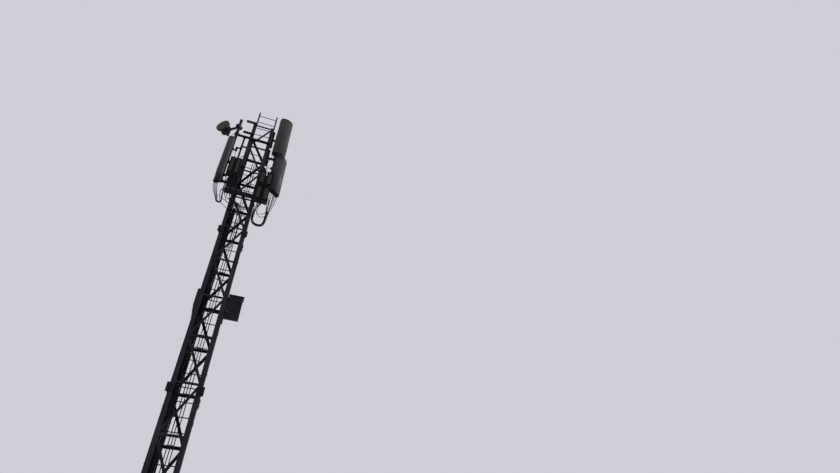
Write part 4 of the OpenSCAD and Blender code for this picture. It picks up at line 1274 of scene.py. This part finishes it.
def make_dish():
    """Turned shroud with a ribbed back, clamped fabric cover, and the rods and nuts of its bracket."""
    pole = at(LEFT_POLE.x, LEFT_POLE.y, DISH_Z) @ spun(DISH_TURN)
    place = pole @ at(-DISH_SIDE, -DISH_BACK, 0) @ spun(-pi / 2, "X")
    r = DISH_R
    shell = Shape()
    shell.turned([
        (r - 0.010, 0.006), (r - 0.001, 0.006), (r, 0.008), (r, 0.013), (r - 0.003, 0.016),
        (r - 0.003, SHROUD - 0.006), (r - 0.001, SHROUD - 0.003), (r - 0.002, SHROUD + 0.001),
        (r * 0.86, SHROUD + 0.017), (r * 0.66, SHROUD + 0.041), (HUB_R + 0.012, REFLECTOR_DEPTH - 0.008),
        (HUB_R + 0.004, REFLECTOR_DEPTH - 0.002), (HUB_R * 0.6, REFLECTOR_DEPTH - 0.0005),
    ], ROUND_SIDES, place)
    for i in range(RIBS):
        turn = place @ spun(2 * pi * i / RIBS)
        start = turn @ Vector((HUB_R + 0.006, 0, REFLECTOR_DEPTH - 0.005))
        rod(shell, start, turn @ Vector((r * 0.93, 0, SHROUD + 0.006)), RIB_R)
    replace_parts(shell.piece("dish_shell", "dish_shell", 30), "dish_reflector")
    cover = Shape()
    bow = [(r * share, -0.0055 * (1 - share * share)) for share in (0.08, 0.25, 0.45, 0.65, 0.85)]
    bow += [(r * 0.96, -0.0005), (r - 0.0035, 0.0015), (r - 0.004, 0.006)]
    cover.turned(bow, ROUND_SIDES, place)
    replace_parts(cover.piece("dish_cover", "dish_radome", 60), "dish_radome")
    band = Shape()
    rim = r + 0.0004
    profile = [(r - 0.012, 0.0008), (r + 0.0002, 0.0008), (rim, 0.003), (rim, 0.010), (r - 0.001, 0.012)]
    band.turned(profile, ROUND_SIDES, place)
    for i in range(CLASPS):
        turn = place @ spun(2 * pi * (i + 0.5) / CLASPS)
        foot = turn @ Vector((r - 0.002, 0, 0.0065))
        M5.end(band, foot, turn.to_3x3() @ Vector(OUTWARD), 0.003)
    arm = at(LEFT_POLE.x, LEFT_POLE.y, BRACKET_Z) @ spun(DISH_TURN)
    for z, y in product(DISH_ROD_ROWS, DISH_ROD_Y):
        foot = arm @ Vector((0.052, y, z))
        rod(band, foot, arm @ Vector((-0.064, y, z)), DISH_ROD_R)
        M12.nut(band, foot, arm.to_3x3() @ Vector(OUTWARD))
        M12.nut(band, arm @ Vector((-0.0502, y, z)), arm.to_3x3() @ Vector((-1, 0, 0)))
    for y, turn in ((-0.0655, 1), (0.0655, -1)):
        block(band, 0.108, 0.016, 0.090, 0.004, arm @ at(0, y - turn * 0.0075, 0.005))
    band.piece("dish_band", "bracket_steel", 30)


make_dish()


# Boxes
DOOR_Y = -0.256
BOX_LEFT = HALF + 0.021
BOX_RIGHT = HALF + 0.321
LID_T = 0.006
HINGE_SHARES = (0.15, 0.5, 0.85)
LOCK_SHARES = (0.24, 0.76)
GLANDS = 5


def box_fixings():
    """Hinges, locks, screws and glands of the equipment box, lid and screws of the flat box."""
    steel, dark = Shape(), Shape()
    base, top = low("side_box").z, high("side_box").z - LID_T
    for share in HINGE_SHARES:
        z = base + share * (top - base)
        x = BOX_LEFT + 0.014
        rod(steel, (x, DOOR_Y, z - 0.030), (x, DOOR_Y, z + 0.030), 0.007, 12)
        block(steel, 0.034, 0.052, 0.003, 0.003, aimed((BOX_LEFT + 0.030, DOOR_Y, z), FRONT))
    for share in LOCK_SHARES:
        stand = aimed((BOX_RIGHT - 0.034, DOOR_Y, base + share * (top - base)), FRONT)
        steel.turned([(0.017, 0), (0.017, 0.004), (0.014, 0.006)], 20, stand)
        block(steel, 0.022, 0.006, 0.010, 0.002, stand)
    for i in range(GLANDS):
        down = aimed((BOX_LEFT + 0.05 + i * 0.05, -0.15, base), (0, 0, -1))
        dark.turned([(0.016, 0), (0.016, 0.005), (0.0145, 0.007)], 6, down)
        dark.turned([(0.0125, 0.007), (0.0125, 0.016), (0.010, 0.021), (0.004, 0.022)], 16, down)
    for y, z in product((-0.22, -0.08), (base + 0.10, top - 0.10)):
        M8.head(steel, (BOX_RIGHT, y, z), OUTWARD)
    size, centre = high("flat_box") - low("flat_box"), middle("flat_box")
    face = low("flat_box").x
    lid = Shape()
    stand = at(face, centre.y, centre.z) @ spun(-pi / 2, "Y")
    block(lid, size.z - 0.030, size.y - 0.030, 0.004, 0.012, stand)
    block(lid, size.z - 0.110, size.y - 0.110, 0.0085, 0.020, stand, 0.003)
    lid.piece("flat_box_lid", "box_olive")
    for share_y, share_z in product((-0.455, 0, 0.455), (-0.45, 0.45)):
        place = (face - 0.004, centre.y + share_y * size.y, centre.z + share_z * size.z)
        M8.head(steel, place, (-1, 0, 0))
    steel.piece("box_fixings", "bracket_steel")
    dark.piece("box_glands", "end_cap")


box_fixings()


# Cable ends and ties
CONNECTOR = [
    (0.0138, -0.020), (0.0145, -0.018), (0.0145, 0.0), (0.0125, 0.002), (0.0125, 0.012),
    (0.0142, 0.013), (0.0142, 0.026), (0.009, 0.028), (0.009, 0.036),
]
CONNECTOR_NUT = [(0.0135, 0.030), (0.0135, 0.042), (0.010, 0.0435)]
FEEDER_SEAL = [(0.0137, -0.070), (0.0150, -0.062), (0.0150, -0.022), (0.0142, -0.018)]
LIGHT_SEAL = [
    (0.0093, -0.030), (0.0108, -0.026), (0.0108, 0.012), (0.0095, 0.024), (0.006, 0.032), (0.002, 0.034),
]
TIE_HALF = 0.0035
TIE_T = 0.0014
RISER_CLIPS = ((12.880, HALF), (13.400, HALF + ARM_W), (13.745, HALF))


def cable_ends():
    """Connectors on the feeders, seals on the light cables and lugs of the earth leads."""
    shape, seals = Shape(), Shape()
    for x, y in product(FEEDER_X, FEEDER_Y):
        stand = at(x, y, FEEDER_TOP)
        shape.turned(CONNECTOR, 16, stand)
        shape.turned(CONNECTOR_NUT, 6, stand)
        seals.turned(FEEDER_SEAL, 16, stand)
    for x in LIGHT_X:
        seals.turned(LIGHT_SEAL, 16, at(x, LIGHT_Y, LIGHT_TOP))
    for x, z in EARTH_LUGS:
        block(shape, 0.040, 0.022, 0.004, 0.006, aimed((x + 0.014, -HALF, z), FRONT))
        M10.head(shape, (x + 0.022, -HALF - 0.004, z), FRONT)
        rod(shape, (x - 0.020, -HALF - 0.0075, z), (x + 0.006, -HALF - 0.0075, z), 0.0066, 10)
    shape.piece("cable_connectors", "strap_steel")
    seals.piece("cable_seals", "end_cap")


def tie(shape, centre, axis, radius):
    """Cable tie: a flat band round a bundle, with its lock."""
    stand = aimed(centre, axis)
    r, outer, z = radius, radius + TIE_T, TIE_HALF
    corners = ((r, -z), (outer, -z), (outer, z), (r, z), (r, -z))
    shape.loft([circle(reach, 24, height) for reach, height in corners], stand, caps=False)
    block(shape, 0.008, 0.006, 0.008, 0.001, stand @ at(radius + 0.002, 0, -0.004), 0.0008)


def bundle_ties():
    """Ties that gather the strands of both loops, and stand-off clips of the risers."""
    shape = Shape()
    for route, picks, gather, strand in (
        (RIGHT_ROUTE, (10, 13, 16, 19), WIDE_GATHER, WIDE_STRAND_D),
        (LEFT_ROUTE, (8, 13, 17, 22, 26), SLIM_GATHER, SLIM_STRAND_D),
    ):
        for i in picks:
            tie(shape, route[i] + HEAD, route[i + 1] - route[i - 1], gather * 1.08 + strand / 2)
    mid_y = (CLIP_Y[0] + CLIP_Y[1]) / 2
    for z, start in RISER_CLIPS:
        length = CLIP_X - 0.004 - start
        block(shape, length, 0.026, 0.020, 0.003, at(start + length / 2, mid_y, z - 0.010))
        block(shape, 0.0185, 0.0415, 0.016, 0.006, at(CLIP_X, mid_y, z - 0.008))
    shape.piece("bundle_ties", "end_cap")


cable_ends()
bundle_ties()


# Floor, world and lights
SKY = (0.62, 0.62, 0.68)
LIGHT = (0.90, 0.94, 1.0)
LIGHT_STRENGTH = 0.55
FLOOR = (0.72, 0.72, 0.72)
FLOOR_HALF = 60.0
FLOOR_Z = -0.001


def make_world():
    """Pale background for the camera and for gloss, soft light for the rest."""
    world = bpy.data.worlds.new("world")
    scene.world = world
    world.use_nodes = True
    tree = world.node_tree
    tree.nodes.clear()
    paths = new_node(tree, "LightPath", {}).outputs
    seen = paths["Is Camera Ray"]
    for kind in ("Is Glossy Ray", "Is Transmission Ray"):
        seen = new_node(tree, "Math", {0: seen, 1: paths[kind]}, operation="MAXIMUM").outputs[0]
    backdrop = new_node(tree, "Background", {"Color": (*SKY, 1)}).outputs[0]
    light = new_node(tree, "Background", {"Color": (*LIGHT, 1), "Strength": LIGHT_STRENGTH}).outputs[0]
    mix = new_node(tree, "MixShader", {0: seen, 1: light, 2: backdrop}).outputs[0]
    new_node(tree, "OutputWorld", {"Surface": mix})


def make_floor():
    data = bpy.data.meshes.new("floor")
    corners = ((-1, -1), (1, -1), (1, 1), (-1, 1))
    data.from_pydata([(x * FLOOR_HALF, y * FLOOR_HALF, FLOOR_Z) for x, y in corners], [], [(0, 1, 2, 3)])
    made = Finish("floor", 0.9)
    tone = made.ramp(made.noise(0.8), (0.3, times(FLOOR, 0.97)), (0.7, FLOOR))
    feed(made.tree, made.shader, {"Base Color": tone})
    data.materials.append(made.material)
    link_object("floor", data)


def make_sun(name, strength, softness, towards):
    data = bpy.data.lights.new(name, "SUN")
    data.energy = strength
    data.angle = radians(softness)
    link_object(name, data).rotation_euler = Vector(towards).to_track_quat("-Z", "Y").to_euler()


make_world()
make_floor()
make_sun("key", 2.3, 25, (-0.85, 0.02, -0.50))
make_sun("rim", 0.6, 30, (0.70, -0.55, -0.60))
